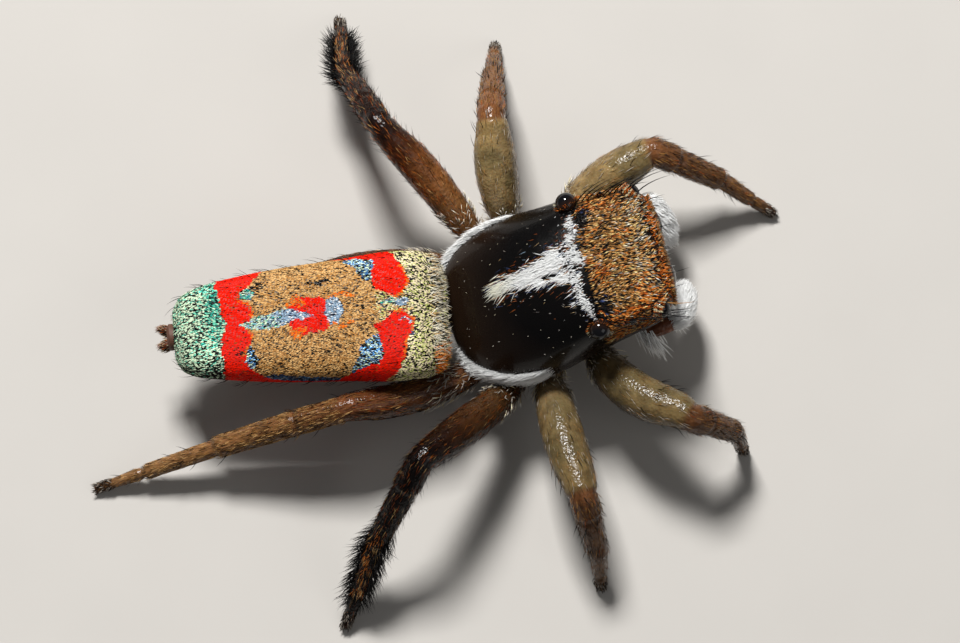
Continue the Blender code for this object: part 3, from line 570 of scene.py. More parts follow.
BLADE_CORNERS = np.array(((-1.0, 0.0), (0.0, 1.0), (1.0, 0.0)))
PATCH = 0.003  # the width of one blade's place on the unwrap
OUTLINE = ((0.0, 0.8), (0.5, 1.0))  # shares of the length, and of the half width there
SCALE_STYLE = {"outline": ((0.0, 0.5), (0.55, 1.0)), "thickness": 0.22, "smooth_shading": False}


def blades(
        name, look, roots, directions, facings, lengths, halves, tints, unwrap,
        outline=OUTLINE, thickness=0.5, bend=-0.1, smooth_shading=True):
    """Many thin tapered blades as one mesh.

    A blade's middle line is root + direction x length x t + facing x bend x length x t squared. Round it
    stand three corners, two to the sides and one on top, whose width follows the outline, up to a point.
    """
    outline = np.array(outline)
    count, levels = len(roots), len(outline)
    directions = unit(directions)
    sides = unit(np.cross(directions, facings))
    tops = np.cross(sides, directions)
    share = np.append(outline[:, 0], 1.0)
    reach = lengths[:, None] * share
    sag = (bend * lengths)[:, None] * share**2
    middle = roots[:, None] + directions[:, None] * reach[..., None] + tops[:, None] * sag[..., None]
    width = halves[:, None] * outline[:, 1]
    corners = BLADE_CORNERS * (1.0, 2 * thickness)
    out = sides[:, None, None] * corners[:, :1] + tops[:, None, None] * corners[:, 1:]
    rings = middle[:, :-1, None] + out * width[:, :, None, None]
    size = 3 * levels + 1
    points = np.concatenate((rings.reshape(count, -1, 3), middle[:, -1:]), axis=1)
    points[..., 2] = np.maximum(points[..., 2], SOLE)
    faces = [(0, 2, 1)]
    for level in range(levels - 1):
        low, high = 3 * level, 3 * level + 3
        for k in range(3):
            j = (k + 1) % 3
            faces += [(low + k, low + j, high + j), (low + k, high + j, high + k)]
    faces += [(size - 4 + k, size - 4 + (k + 1) % 3, size - 1) for k in range(3)]
    triangles = np.array(faces)[None] + size * np.arange(count)[:, None, None]
    local = np.concatenate((
        np.stack((np.tile((0.0, 0.5, 1.0), levels), np.repeat(outline[:, 0], 3)), -1), ((0.5, 1.0),)))
    patch = unwrap[:, None] + PATCH * (local - 0.5)
    point_tints = np.repeat(tints[:, None], size, axis=1)
    mesh = mesh_from_triangles(
        name, points.reshape(-1, 3), triangles.reshape(-1, 3), point_tints.reshape(-1, 4),
        patch.reshape(-1, 2), smooth_shading)
    return make_object(name, mesh, look)


# Placing hairs and scales

def even_points(count, seed, jitter):
    """Points that fill a unit cube evenly: multiples of three steps modulo one, each moved a little."""
    base = 1.2207440846  # the root of x to the fourth = x + 1, which spreads points evenly in a cube
    steps = 1 / base ** np.arange(1, 4)
    points = seed * 0.618 + np.outer(np.arange(1, count + 1), steps)
    points += np.random.default_rng(seed).normal(0, jitter / math.sqrt(count), points.shape)
    return points % 1.0


class Roots:
    """Places on a surface, spread evenly by area, with the surface's directions there."""

    def __init__(self, shape, u_range, v_range, density, seed, flip=1, jitter=0.4):
        self.shape, self.flip = shape, flip
        (u0, u1), (v0, v1) = u_range, v_range
        gu, gv = np.meshgrid(np.linspace(u0, u1, 25)[1:-1], np.linspace(v0, v1, 25)[1:-1])
        densest = self.area(gu.ravel(), gv.ravel()).max()
        count = int(density * (u1 - u0) * (v1 - v0) * densest) + 1
        draw = even_points(count, seed, jitter)
        u, v = u0 + (u1 - u0) * draw[:, 0], v0 + (v1 - v0) * draw[:, 1]
        kept = draw[:, 2] * densest < self.area(u, v)
        self.random = np.random.default_rng(seed)
        self.take(u[kept], v[kept])

    def slopes(self, u, v):
        """How the surface's points move with each parameter, by central differences."""
        step = 0.004
        du = (self.shape(u + step, v) - self.shape(u - step, v)) / (2 * step)
        dv = (self.shape(u, v + step) - self.shape(u, v - step)) / (2 * step)
        return du, dv

    def area(self, u, v):
        """Area for each unit of the parameters: the length of the slopes' cross product."""
        du, dv = self.slopes(u, v)
        return np.linalg.norm(np.cross(du, dv), axis=-1)

    def take(self, u, v):
        """Makes these the roots: place, direction of growing u, and outward normal."""
        self.u, self.v = u, v
        self.place = self.shape(u, v)
        du, dv = self.slopes(u, v)
        self.ahead = unit(du)
        self.normal = unit(np.cross(dv, du)) * self.flip

    def keep(self, chosen):
        """Keeps the chosen roots and drops the others."""
        self.take(self.u[chosen], self.v[chosen])

    def sunk(self, depth):
        """The roots set into the skin."""
        return self.place - self.normal * depth

    def __len__(self):
        return len(self.u)

    def noise(self):
        return self.random.random(len(self))

    def spread(self, low, high):
        return self.random.uniform(low, high, len(self))

    def lie(self, way, lift, scatter):
        """A direction along the surface near the asked way, lifted off it, each turned a little at random."""
        way = np.broadcast_to(way, self.place.shape)
        flat = unit(way - self.normal * np.sum(way * self.normal, -1, keepdims=True))
        side = np.cross(self.normal, flat)
        angle = self.random.normal(0, scatter, len(self))[:, None]
        lift = np.broadcast_to(lift, len(self))[:, None]
        return unit(flat * np.cos(angle) + side * np.sin(angle) + self.normal * lift)


def value_noise(places, pitch, seed=0):
    """Random numbers on a cubic lattice of the given pitch, blended smoothly between its corners."""
    cell = np.floor(places / pitch).astype(np.int64)
    share = places / pitch - cell
    share = share * share * (3 - 2 * share)
    total = np.zeros(places.shape[:-1])
    for corner in np.ndindex(2, 2, 2):
        spot = cell + np.array(corner)
        mixed = (spot[..., 0] * 73856093) ^ (spot[..., 1] * 19349663) ^ (spot[..., 2] * 83492791)
        mixed = (mixed ^ (seed * 9781)) & 0x7FFFFFFF
        mixed = ((mixed >> 13) ^ mixed) * 60493 & 0x7FFFFFFF
        mixed = ((mixed >> 11) ^ mixed) * 19990303 & 0x7FFFFFFF
        weight = np.prod(np.where(corner, share, 1 - share), axis=-1)
        total += weight * (mixed & 0xFFFF) / 65535
    return total


def tinted(colours, strength=1.0, shine=0.0):
    """Colours with a strength each, and a shine as the fourth number."""
    colours = np.asarray(colours, float)
    strength = np.asarray(strength, float)[..., None]
    body = np.broadcast_to(colours * strength, np.broadcast_shapes(colours.shape, strength.shape[:-1] + (3,)))
    shine = np.broadcast_to(np.asarray(shine, float)[..., None], body.shape[:-1] + (1,))
    return np.concatenate((np.clip(body, 0, 1), shine), axis=-1)


def blend(low, high, share):
    """Colours between two, by a share from none to one."""
    share = np.clip(share, 0, 1)[..., None]
    return np.asarray(low) * (1 - share) + np.asarray(high) * share


def pick(draw, choices):
    """One of a few colours each, by shares that add up to one."""
    limits = np.cumsum([share for share, _ in choices])
    index = np.minimum(np.searchsorted(limits, draw), len(choices) - 1)
    return np.array([colour for _, colour in choices])[index]


# Markings of the abdomen

def across_abdomen(back, place):
    """Distance from the middle line, counted on down the sides: left of it positive."""
    _, top, _, _ = abdomen_profile(back)
    x, y = place[..., 0] - ABDOMEN_FRONT[0], place[..., 1] - ABDOMEN_FRONT[1]
    left = -x * math.sin(ABDOMEN_YAW) + y * math.cos(ABDOMEN_YAW)
    drop = np.maximum(top - 0.02 - place[..., 2], 0)
    return np.sign(left) * (np.abs(left) + 0.8 * drop)


def in_oval(back, across, middle, half, power=2.0):
    """Whether places lie in an oval, squarer with a higher power."""
    share = np.abs((back - middle[0]) / half[0]) ** power + np.abs((across - middle[1]) / half[1]) ** power
    return share < 1


# Borders of the two red patches at the abdomen's front: distance from the middle line, then back
PATCH_FRONT = {
    1: ((0.13, 0.20, 0.284, 0.42, 0.56, 0.76, 1.0), (0.47, 0.36, 0.318, 0.36, 0.415, 0.49, 0.50)),
    -1: ((-0.02, 0.015, 0.09, 0.18, 0.26, 0.46, 0.71, 0.81, 1.0),
         (0.44, 0.375, 0.285, 0.31, 0.357, 0.411, 0.522, 0.60, 0.64)),
}
PATCH_REAR = {
    1: ((0.13, 0.20, 0.275, 0.353, 0.60, 0.66, 0.72, 0.78, 1.0),
        (0.47, 0.60, 0.685, 0.69, 0.668, 0.75, 0.98, 1.10, 1.15)),
    -1: ((-0.02, 0.03, 0.10, 0.155, 0.25, 0.43, 0.60, 0.66, 0.70, 1.0),
         (0.45, 0.549, 0.64, 0.693, 0.665, 0.64, 0.708, 0.903, 0.97, 1.0)),
}
BLUE_REAR = {
    1: ((0.34, 0.38, 0.53, 0.67, 0.70), (0.69, 0.784, 0.871, 0.945, 0.75)),
    -1: ((0.24, 0.30, 0.36, 0.54, 0.67, 0.70), (0.66, 0.80, 0.844, 0.895, 0.965, 0.90)),
}
PATCH_INNER = {1: 0.13, -1: -0.02}
BLUE_INNER = {1: 0.34, -1: 0.24}

# Borders of the red band, across the abdomen from the right to the left
BAND_FRONT = (
    (-0.95, -0.66, -0.54, -0.45, -0.302, -0.208, -0.133, -0.071, -0.026, 0.026, 0.081, 0.161, 0.266,
     0.37, 0.60, 0.95),
    (1.60, 1.822, 1.931, 1.984, 2.001, 1.946, 1.911, 1.953, 2.026, 1.945, 1.893, 1.915, 2.012,
     1.956, 1.813, 1.70))
BAND_REAR = (
    (-0.90, -0.60, -0.30, -0.20, -0.109, -0.014, 0.087, 0.284, 0.50, 0.90),
    (2.23, 2.232, 2.232, 2.233, 2.206, 2.169, 2.209, 2.231, 2.25, 2.26))

# The right side's red strip and the navy one above it, back along the abdomen
STRIP_EDGE = (
    (0.66, 0.90, 1.02, 1.136, 1.30, 1.555, 1.70, 1.85, 1.95),
    (0.56, 0.65, 0.72, 0.86, 0.85, 0.80, 0.75, 0.67, 0.52))
NAVY_EDGE = ((1.02, 1.136, 1.326, 1.555, 1.70, 1.86), (0.80, 0.765, 0.71, 0.675, 0.64, 0.67))
STREAK_MIDDLE = ((1.31, 1.494, 1.62, 1.775, 1.95, 2.03), (0.009, 0.038, 0.0235, -0.0075, -0.0125, -0.026))
FLECKS = (  # small black marks of the golden field: middle and half size
    ((1.26, 0.355), (0.065, 0.020)), ((1.16, 0.390), (0.070, 0.018)), ((1.31, 0.365), (0.030, 0.028)),
    ((1.00, 0.312), (0.030, 0.008)), ((0.91, 0.285), (0.026, 0.008)), ((1.66, -0.49), (0.026, 0.016)),
    ((1.84, -0.37), (0.020, 0.010)), ((1.43, -0.185), (0.030, 0.010)), ((0.80, 0.06), (0.03, 0.02)),
    ((2.09, -0.26), (0.030, 0.018)), ((2.04, -0.31), (0.030, 0.018)))
STREAK_HALF = (
    (1.30, 1.40, 1.494, 1.62, 1.775, 1.95, 2.02, 2.04), (0.0, 0.030, 0.049, 0.080, 0.074, 0.040, 0.018, 0.0))


def abdomen_zones(back, across, draw):
    """The marking that each place of the abdomen belongs to, as an index into ZONE_NAMES."""
    zone = np.full(back.shape, ZONE_NAMES.index("golden"))

    def paint(name, where):
        zone[where] = ZONE_NAMES.index(name)

    def spot(name, middle, half, share=1.0, power=2.0):
        paint(name, in_oval(back, across, middle, half, power) & (draw <= share))

    outside = np.abs(across)
    paint("meadow", (back < 0.66 + 0.10 * (draw - 0.5)) & (outside < 0.30))
    paint("cream", back < smooth((0, 0.12, 0.30, 1.0), (0.31, 0.36, 0.46, 0.56), outside))
    for sign in (1, -1):
        outward = sign * across
        beyond = back > smooth(*PATCH_FRONT[sign], outward)
        before = back < smooth(*PATCH_REAR[sign], outward)
        blue = (outward > BLUE_INNER[sign]) & (outward < 0.70) & (back > 0.5)
        paint("blue", blue & (back < smooth(*BLUE_REAR[sign], outward)))
        inside = (outward > PATCH_INNER[sign]) & beyond & before
        paint("red", inside)
        rim = (back < smooth(*PATCH_FRONT[sign], outward) + 0.035) | (outward < PATCH_INNER[sign] + 0.035)
        paint("orange", inside & rim & (draw < 0.8) & (outward < 0.50))
    spot("foam", (0.50, 0.095), (0.13, 0.030), 0.6)
    spot("sky", (0.405, 0.085), (0.065, 0.050))
    spot("navy", (0.335, -0.235), (0.045, 0.014))
    band_front, band_rear = smooth(*BAND_FRONT, across), smooth(*BAND_REAR, across)
    paint("red", (back > band_front) & (back < band_rear) & (outside < 1.0))
    paint("orange", (np.abs(back - band_front - 0.012) < 0.016) & (outside < 0.35) & (draw < 0.5))
    spot("blue", (1.95, 0.30), (0.070, 0.072))
    spot("turquoise", (1.95, 0.30), (0.055, 0.055), 0.7)
    spot("black", (1.84, 0.385), (0.062, 0.060), 0.72)
    spot("blue", (1.945, -0.385), (0.055, 0.14))
    spot("black", (1.905, -0.43), (0.035, 0.12), 0.6)
    strip_edge = smooth(*STRIP_EDGE, back)
    along_strip = (across < 0) & (back > 0.62) & (back < 2.2)
    paint("navy", along_strip & (outside > smooth(*NAVY_EDGE, back)) & (back > 1.06) & (back < 1.86))
    paint("red", along_strip & (outside > strip_edge) & (outside < 1.0))
    spot("red", (1.33, 0.019), (0.205, 0.185), power=3.5)
    corner = in_oval(back, across, (1.47, 0.015), (0.11, 0.215)) & (np.abs(across - 0.015) > 0.11)
    paint("orange", corner & (draw < 0.75))
    ring = np.hypot(back - 1.01, across - 0.06)
    paint("orange", (np.abs(ring - 0.170) < 0.022) & (np.abs(across - 0.06) > 0.125) & (draw < 0.75))
    spot("sky", (1.095, 0.056), (0.090, 0.135))
    streak = np.abs(across - smooth(*STREAK_MIDDLE, back)) < smooth(*STREAK_HALF, back)
    streak &= (back > 1.30) & (back < 2.04)
    paint("sky", streak)
    paint("foam", streak & (back > 1.66 + 0.2 * (draw - 0.5)))
    for middle, half in FLECKS:
        spot("black", middle, half, 0.92)
    spot("sky", (0.405, -0.085), (0.050, 0.011))
    spot("sky", (0.345, -0.115), (0.013, 0.036))
    rear = back > band_rear
    paint("pale", rear)
    greener = np.clip((2.50 - back) / 0.22, 0, 1) * (0.60 + 0.40 * np.cos((across - 0.28) * 5.2))
    paint("turquoise", rear & (draw < greener))
    paint("black", rear & (draw < 0.85 * np.clip((-0.38 - across) / 0.30, 0, 1)))
    paint("flank", outside > 1.0 + 0.06 * draw)
    return zone


def abdomen_places(back, place, seed=3):
    """Back and across with the ragged edge that rows of scales give the markings."""
    across = across_abdomen(back, place)
    waver = value_noise(place, 0.05, seed) - 0.5
    drift = value_noise(place, 0.05, seed + 1) - 0.5
    return back + 0.045 * waver, across + 0.045 * drift


# Materials

class Wire:
    """A number that runs through a material: arithmetic on it adds Math nodes."""

    def __init__(self, look, socket):
        self.look = look
        self.socket = socket

    def math(self, operation, first, second):
        step = self.look.node("ShaderNodeMath", {"operation": operation}, {0: first, 1: second})
        return Wire(self.look, step.outputs[0])

    def __add__(self, other):
        return self.math("ADD", self, other)

    def __radd__(self, other):
        return self.math("ADD", other, self)

    def __sub__(self, other):
        return self.math("SUBTRACT", self, other)

    def __rsub__(self, other):
        return self.math("SUBTRACT", other, self)

    def __mul__(self, other):
        return self.math("MULTIPLY", self, other)


class Look:
    """A material and its node tree, which ends in the Principled shader."""

    def __init__(self, name):
        self.material = bpy.data.materials.new(name)
        self.material.use_nodes = True
        self.tree = self.material.node_tree
        self.shader = self.tree.nodes["Principled BSDF"]

    def plug(self, socket, value):
        """A link where the value comes from a node, and the socket's own number otherwise."""
        if isinstance(value, Wire):
            value = value.socket
        if isinstance(value, bpy.types.NodeSocket):
            self.tree.links.new(value, socket)
        else:
            socket.default_value = value

    def node(self, kind, settings=None, inputs=None):
        """A new node with its settings and inputs."""
        made = self.tree.nodes.new(kind)
        for name, value in (settings or {}).items():
            setattr(made, name, value)
        for name, value in (inputs or {}).items():
            self.plug(made.inputs[name], value)
        return made

    def grain(self, pitch, detail=2.0, rough=0.5):
        """Noise on the object's own coordinates, whose grains are about `pitch` millimetres."""
        where = self.node("ShaderNodeTexCoord").outputs["Object"]
        spot = self.node("ShaderNodeMapping", None, {"Vector": where, "Scale": (1 / (pitch * MM),) * 3})
        noise = self.node("ShaderNodeTexNoise", None, {
            "Vector": spot.outputs[0], "Scale": 1.0, "Detail": detail, "Roughness": rough})
        return Wire(self, noise.outputs["Fac"])

    def cells(self, pitch):
        """Distance to the nearest of many scattered points, about `pitch` millimetres apart."""
        where = self.node("ShaderNodeTexCoord").outputs["Object"]
        spots = self.node("ShaderNodeTexVoronoi", None, {"Vector": where, "Scale": 1 / (pitch * MM)})
        return Wire(self, spots.outputs["Distance"])

    def tint(self):
        """The colours that the mesh carries, with the shine as their alpha."""
        return self.node("ShaderNodeAttribute", {"attribute_name": "tint"})

    def mix(self, share, low, high, way="MIX"):
        """A colour between two, or their product."""
        made = self.node("ShaderNodeMix", {"data_type": "RGBA", "blend_type": way, "clamp_result": True})
        self.plug(made.inputs["Factor"], share)
        self.plug(made.inputs[6], low)
        self.plug(made.inputs[7], high)
        return made.outputs[2]

    def bump(self, height, depth, strength):
        """Relief of the given depth in millimetres."""
        made = self.node("ShaderNodeBump", None, {
            "Height": height, "Distance": depth * MM, "Strength": strength})
        self.plug(self.shader.inputs["Normal"], made.outputs["Normal"])

    def set(self, **inputs):
        """Inputs of the Principled shader, with underscores for the spaces of their names."""
        for name, value in inputs.items():
            self.plug(self.shader.inputs[name.replace("_", " ")], value)
        return self.material


def grey(value):
    """An opaque grey."""
    return (value, value, value, 1.0)


def shell_look():
    """Polished black shell with a fine net of wrinkles, brown where the tint says so."""
    look = Look("polished_shell")
    base = look.tint().outputs["Color"]
    colour = look.mix(look.grain(0.25), base, look.mix(1.0, base, grey(0.55), "MULTIPLY"))
    look.bump(look.cells(0.022) * 0.7 + look.grain(0.006) * 0.3, 0.004, 0.35)
    look.plug(look.shader.inputs["Specular IOR Level"], 0.12)
    look.plug(look.shader.inputs["Coat Roughness"], 0.06)
    return look.set(Base_Color=colour, Roughness=0.20 + look.grain(0.06) * 0.16, Coat_Weight=0.16)


def lens_look():
    """A dark polished lens."""
    look = Look("dark_lens")
    colour = look.mix(look.grain(0.05), look.tint().outputs["Color"], BLACK + (1.0,))
    return look.set(Base_Color=colour, Roughness=0.03 + look.grain(0.03) * 0.03, IOR=1.42)


def cuticle_look():
    """Thin, slightly see-through skin of the legs and palps, with fine pits and darker mottling."""
    look = Look("leg_cuticle")
    tint = look.tint()
    darker = look.mix(1.0, tint.outputs["Color"], (0.45, 0.38, 0.32, 1.0), "MULTIPLY")
    colour = look.mix(look.grain(0.09, 4.0, 0.62) * 1.5 - 0.35, tint.outputs["Color"], darker)
    look.bump(look.cells(0.030) * 0.8 + look.grain(0.012, 3.0) * 0.4, 0.008, 0.75)
    rough = 0.12 + look.grain(0.05) * 0.16
    return look.set(
        Base_Color=colour, Roughness=rough, Subsurface_Weight=0.25, Subsurface_Radius=(1.0, 0.45, 0.2),
        Subsurface_Scale=0.06 * MM, Specular_IOR_Level=0.28)


def body_look():
    """Dull leathery skin of the abdomen and the underside."""
    look = Look("body_skin")
    tint = look.tint().outputs["Color"]
    colour = look.mix(look.grain(0.04, 3.0), tint, look.mix(1.0, tint, grey(0.5), "MULTIPLY"))
    look.bump(look.grain(0.015, 3.0), 0.006, 0.6)
    return look.set(Base_Color=colour, Roughness=0.5 + look.grain(0.03) * 0.2)


def coat_look(name, rough, shine=0.0, streak=0.25, specular=0.25, through=0.0):
    """Scales or hairs in their own tints, some with a metal shine, the white ones letting light through."""
    look = Look(name)
    tint = look.tint()
    dim = look.mix(1.0, tint.outputs["Color"], grey(1 - streak), "MULTIPLY")
    colour = look.mix(look.grain(0.03, 2.0), tint.outputs["Color"], dim)
    gloss = Wire(look, tint.outputs["Alpha"])
    look.plug(look.shader.inputs["Specular IOR Level"], specular)
    if through:
        look.set(Subsurface_Weight=through, Subsurface_Radius=(1.0, 1.0, 1.0), Subsurface_Scale=0.012 * MM)
    return look.set(Base_Color=colour, Roughness=rough - gloss * 0.15, Metallic=gloss * shine)


LOOKS = {}


def looks(name):
    """The named material, made the first time it is asked for."""
    makers = {
        "shell": shell_look,
        "lens": lens_look,
        "cuticle": cuticle_look,
        "body": body_look,
        "scales": lambda: coat_look("flat_scales", 0.42, shine=0.65, specular=0.05),
        "crown": lambda: coat_look("crown_hair", 0.40, streak=0.4, specular=0.20),
        "white": lambda: coat_look("white_hair", 0.38, streak=0.05, through=0.7),
        "down": lambda: coat_look("fine_hair", 0.42, specular=0.05),
        "bristle": lambda: coat_look("dark_bristle", 0.30, specular=0.12),
    }
    if name not in LOOKS:
        LOOKS[name] = makers[name]()
    return LOOKS[name]


def unwrap_of(roots, u_range, u_first=0.0, u_share=1.0):
    """Each root's place on the skin's unwrap: along it to the right, round it upwards."""
    u = (roots.u - u_range[0]) / (u_range[1] - u_range[0])
    v = (roots.v / (2 * math.pi)) % 1.0
    return np.stack((0.01 + 0.98 * (u_first + u_share * np.clip(u, 0, 1)), 0.01 + 0.98 * v), axis=-1)


# Carapace and eyes

def head_places(place):
    """Along and left of points in the head's own directions."""
    x, y = place[..., 0] - FACE[0], place[..., 1] - FACE[1]
    c, s = math.cos(HEAD_YAW), math.sin(HEAD_YAW)
    return x * c + y * s, -x * s + y * c


def crown_cover(along, left):
    """How much of the tan hair between the eyes grows at a place, from none to all."""
    rear_edge = -0.775 + 0.06 * np.abs(left) ** 2
    return np.clip((along - rear_edge) / 0.06 + 0.5, 0, 1)


def build_carapace():
    """The polished shell, its face a low dome in front of the last ring."""
    spread = 0.5 - 0.5 * np.cos(np.linspace(0, math.pi, 170))
    along = -CARAPACE_LENGTH + (CARAPACE_LENGTH - FACE_DEPTH) * spread
    turn = turns_round(168)
    grid = carapace_shape(along[:, None], turn[None])
    dome = face_shape(np.array((0.97, 0.9, 0.75, 0.5, 0.25))[:, None] + 0 * turn, turn + np.zeros((5, 1)))
    grid = np.concatenate((grid, dome))
    place_along, left = head_places(grid)
    cover = crown_cover(place_along, left)
    shell = blend(np.array(BLACK) * 0.8, (0.014, 0.007, 0.004), cover)
    # The lower flanks of the thorax turn brown: partly the margin's own brown, partly a painted brown sheen.
    flank = np.clip((1.45 - grid[..., 2]) / 0.40, 0, 1) * (place_along < -0.7)
    shell = blend(shell, (0.020, 0.010, 0.005), flank * 0.7)
    piece = closed_surface("carapace_skin", looks("shell"), grid, tinted(shell))
    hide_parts("carapace")


def eye_axes(name, sign):
    """Centre, radius, looking direction and two directions across it."""
    along, left, height, radius = EYES[name]
    forward, outward, upward = EYE_LOOK[name]
    look = unit(HEAD_FORWARD * forward + HEAD_LEFT * sign * outward + UP * upward)
    side = unit(np.cross(UP, look))
    return head_point(along, sign * left, height), radius, look, side, np.cross(look, side)


def build_eyes():
    """Each eye a ball whose rings run round the way it looks, browner towards its rim."""
    for name in EYES:
        for side_name, sign in SIDES:
            centre, radius, look, side, top = eye_axes(name, sign)
            polar = np.linspace(0.02, math.pi - 0.02, 40)[:, None, None]
            turn = turns_round(56)[None, :, None]
            ball = look * np.cos(polar) + (side * np.cos(turn) + top * np.sin(turn)) * np.sin(polar)
            grid = centre + radius * ball
            rim = np.clip((polar[..., 0] - 0.9) / 0.5, 0, 1) + 0 * turn[..., 0]
            tints = tinted(blend((0.004, 0.004, 0.006), (0.030, 0.012, 0.006), rim))
            piece = closed_surface(f"{name}_{side_name}_lens", looks("lens"), grid, tints, -1)
            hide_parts(f"{name}_{side_name}")


# Abdomen

def build_abdomen():
    """The skin under the scales, dark, with the scales' markings in it."""
    back = ABDOMEN_LENGTH * (0.5 - 0.5 * np.cos(np.linspace(0, math.pi, 200)))
    turn = turns_round(160)
    grid = abdomen_shape(back[:, None], turn[None])
    behind, across = abdomen_places(back[:, None] + 0 * turn[None], grid)
    draw = value_noise(grid, 0.03, 9)
    zone = abdomen_zones(behind, across, draw)
    means = np.array([
        sum(share * np.array(colour) for share, colour, _ in ZONES[name]) for name in ZONE_NAMES])
    dim = np.where(zone == ZONE_NAMES.index("red"), 0.70, 0.22)
    dim = np.where(in_zones(zone, *COARSE_ZONES, "meadow"), 0.05, dim)
    piece = closed_surface("abdomen_skin", looks("body"), grid, tinted(means[zone], dim), -1)
    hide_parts("abdomen")


def in_zones(zone, *names):
    """Whether each place belongs to one of the named markings."""
    return np.isin(zone, [ZONE_NAMES.index(name) for name in names])


def zone_tints(zone, draw):
    """Each scale's own colour and shine, drawn from its marking's mix."""
    tints = np.zeros((len(zone), 4))
    for index, name in enumerate(ZONE_NAMES):
        chosen = zone == index
        limits = np.cumsum([share for share, _, _ in ZONES[name]])
        kind = np.minimum(np.searchsorted(limits, draw[chosen]), len(limits) - 1)
        tints[chosen] = np.array([(*colour, shine) for _, colour, shine in ZONES[name]])[kind]
    return tints


def scale_coat(name, back_range, seed):
    """The scales of one stretch of the abdomen's back and sides, lying rearward like roof tiles."""
    coat = bpy.context.scene.spider_coat
    length = coat.scale_length / MM
    roots = Roots(abdomen_shape, back_range, (-0.75, math.pi + 0.75), coat.scale_density, seed, -1)
    behind, across = abdomen_places(roots.u, roots.place)
    zone = abdomen_zones(behind + 0.5 * length, across, roots.noise())
    cover = np.array([ZONE_COVER.get(marking, OTHER_COVER) for marking in ZONE_NAMES])[zone]
    chosen = roots.noise() < cover
    roots.keep(chosen)
    zone = zone[chosen]
    tints = zone_tints(zone, roots.noise())
    tints[:, :3] *= roots.spread(0.78, 1.15)[:, None]
    front = np.clip((0.16 - roots.u) / 0.16, 0, 1)
    lift = 0.16 + 0.14 * roots.noise() + 0.6 * front
    size = length * roots.spread(0.75, 1.25) * (1 + 0.8 * front)
    width = length * np.where(in_zones(zone, *COARSE_ZONES), 0.20, 0.17)
    swirl = value_noise(roots.place, 0.20, 21) - 0.5
    way = ABDOMEN_REAR * (1 - 2 * front)[:, None] + np.cross(UP, ABDOMEN_REAR) * (0.9 * swirl)[:, None]
    blades(
        name, looks("scales"), roots.sunk(0.003), roots.lie(way, lift, 0.22), roots.normal,
        size, width, np.clip(tints, 0, 1), unwrap_of(roots, (0, ABDOMEN_LENGTH)), **SCALE_STYLE)


def end_scales():
    """The scales round the spinnerets, lying outwards over the abdomen's rear end."""
    roots = Roots(abdomen_end_shape, (0.10, 1.0), (0, 2 * math.pi), 5200, 45)
    tints = pick(roots.noise(), ((0.38, PALE_GREEN), (0.20, SEA_GREEN), (0.42, BLACK)))
    size = roots.spread(0.030, 0.048)
    blades(
        "abdomen_end_scales", looks("scales"), roots.sunk(0.002),
        roots.lie(roots.ahead, roots.spread(0.2, 0.5), 0.4), roots.normal, size, size * 0.18,
        tinted(tints, roots.spread(0.7, 1.1)), unwrap_of(roots, (0, 1), 0.98, 0.02), **SCALE_STYLE)


def under_coat():
    """Short grey-brown hairs under the abdomen."""
    below = (math.pi + 0.7, 2 * math.pi - 0.7)
    roots = Roots(abdomen_shape, (0.02, ABDOMEN_LENGTH - 0.02), below, 1300, 41, -1)
    tints = tinted(pick(roots.noise(), ((0.4, GREY), (0.35, BROWN), (0.25, CREAM))), roots.spread(0.5, 1.0))
    blades(
        "abdomen_under_hair", looks("down"), roots.place, roots.lie(ABDOMEN_REAR, 0.25, 0.25), roots.normal,
        roots.spread(0.06, 0.10), roots.spread(0.004, 0.006), tints, unwrap_of(roots, (0, ABDOMEN_LENGTH)),
        thickness=0.6)


def rim_hair():
    """Few long dark hairs off the abdomen's edges, pale ones at its front, orange at its right corner."""
    roots = Roots(abdomen_shape, (0.01, ABDOMEN_LENGTH - 0.01), (-0.3, math.pi + 0.3), 42, 51, -1)
    edge = np.abs(np.cos(roots.v)) > 0.70
    roots.keep(edge | (roots.noise() < 0.25))
    tints = tinted(pick(roots.noise(), ((0.75, BLACK), (0.25, BROWN))))
    blades(
        "abdomen_long_hair", looks("bristle"), roots.place, roots.lie(ABDOMEN_REAR, 0.7, 0.35), roots.normal,
        roots.spread(0.10, 0.20), roots.spread(0.0028, 0.0042), tints, unwrap_of(roots, (0, ABDOMEN_LENGTH)),
        outline=((0.0, 1.0), (0.35, 0.8), (0.7, 0.5)), thickness=0.8, bend=-0.25)
    front = Roots(abdomen_shape, (0.004, 0.15), (-0.1, math.pi), 3000, 52, -1)
    orange = 0.75 * np.clip((-0.30 - across_abdomen(front.u, front.place)) / 0.20, 0, 1)
    pale = pick(front.noise(), ((0.54, (0.98, 0.88, 0.64)), (0.10, SAND), (0.36, BLACK)))
    colours = np.where((front.noise() < orange)[:, None], ORANGE, pale)
    blades(
        "abdomen_front_hair", looks("white"), front.place, front.lie(-ABDOMEN_REAR, 0.55, 0.4), front.normal,
        front.spread(0.07, 0.13), front.spread(0.0035, 0.0055), tinted(colours, front.spread(0.7, 1.05)),
        unwrap_of(front, (0, ABDOMEN_LENGTH)), thickness=0.3, smooth_shading=False)


# Legs

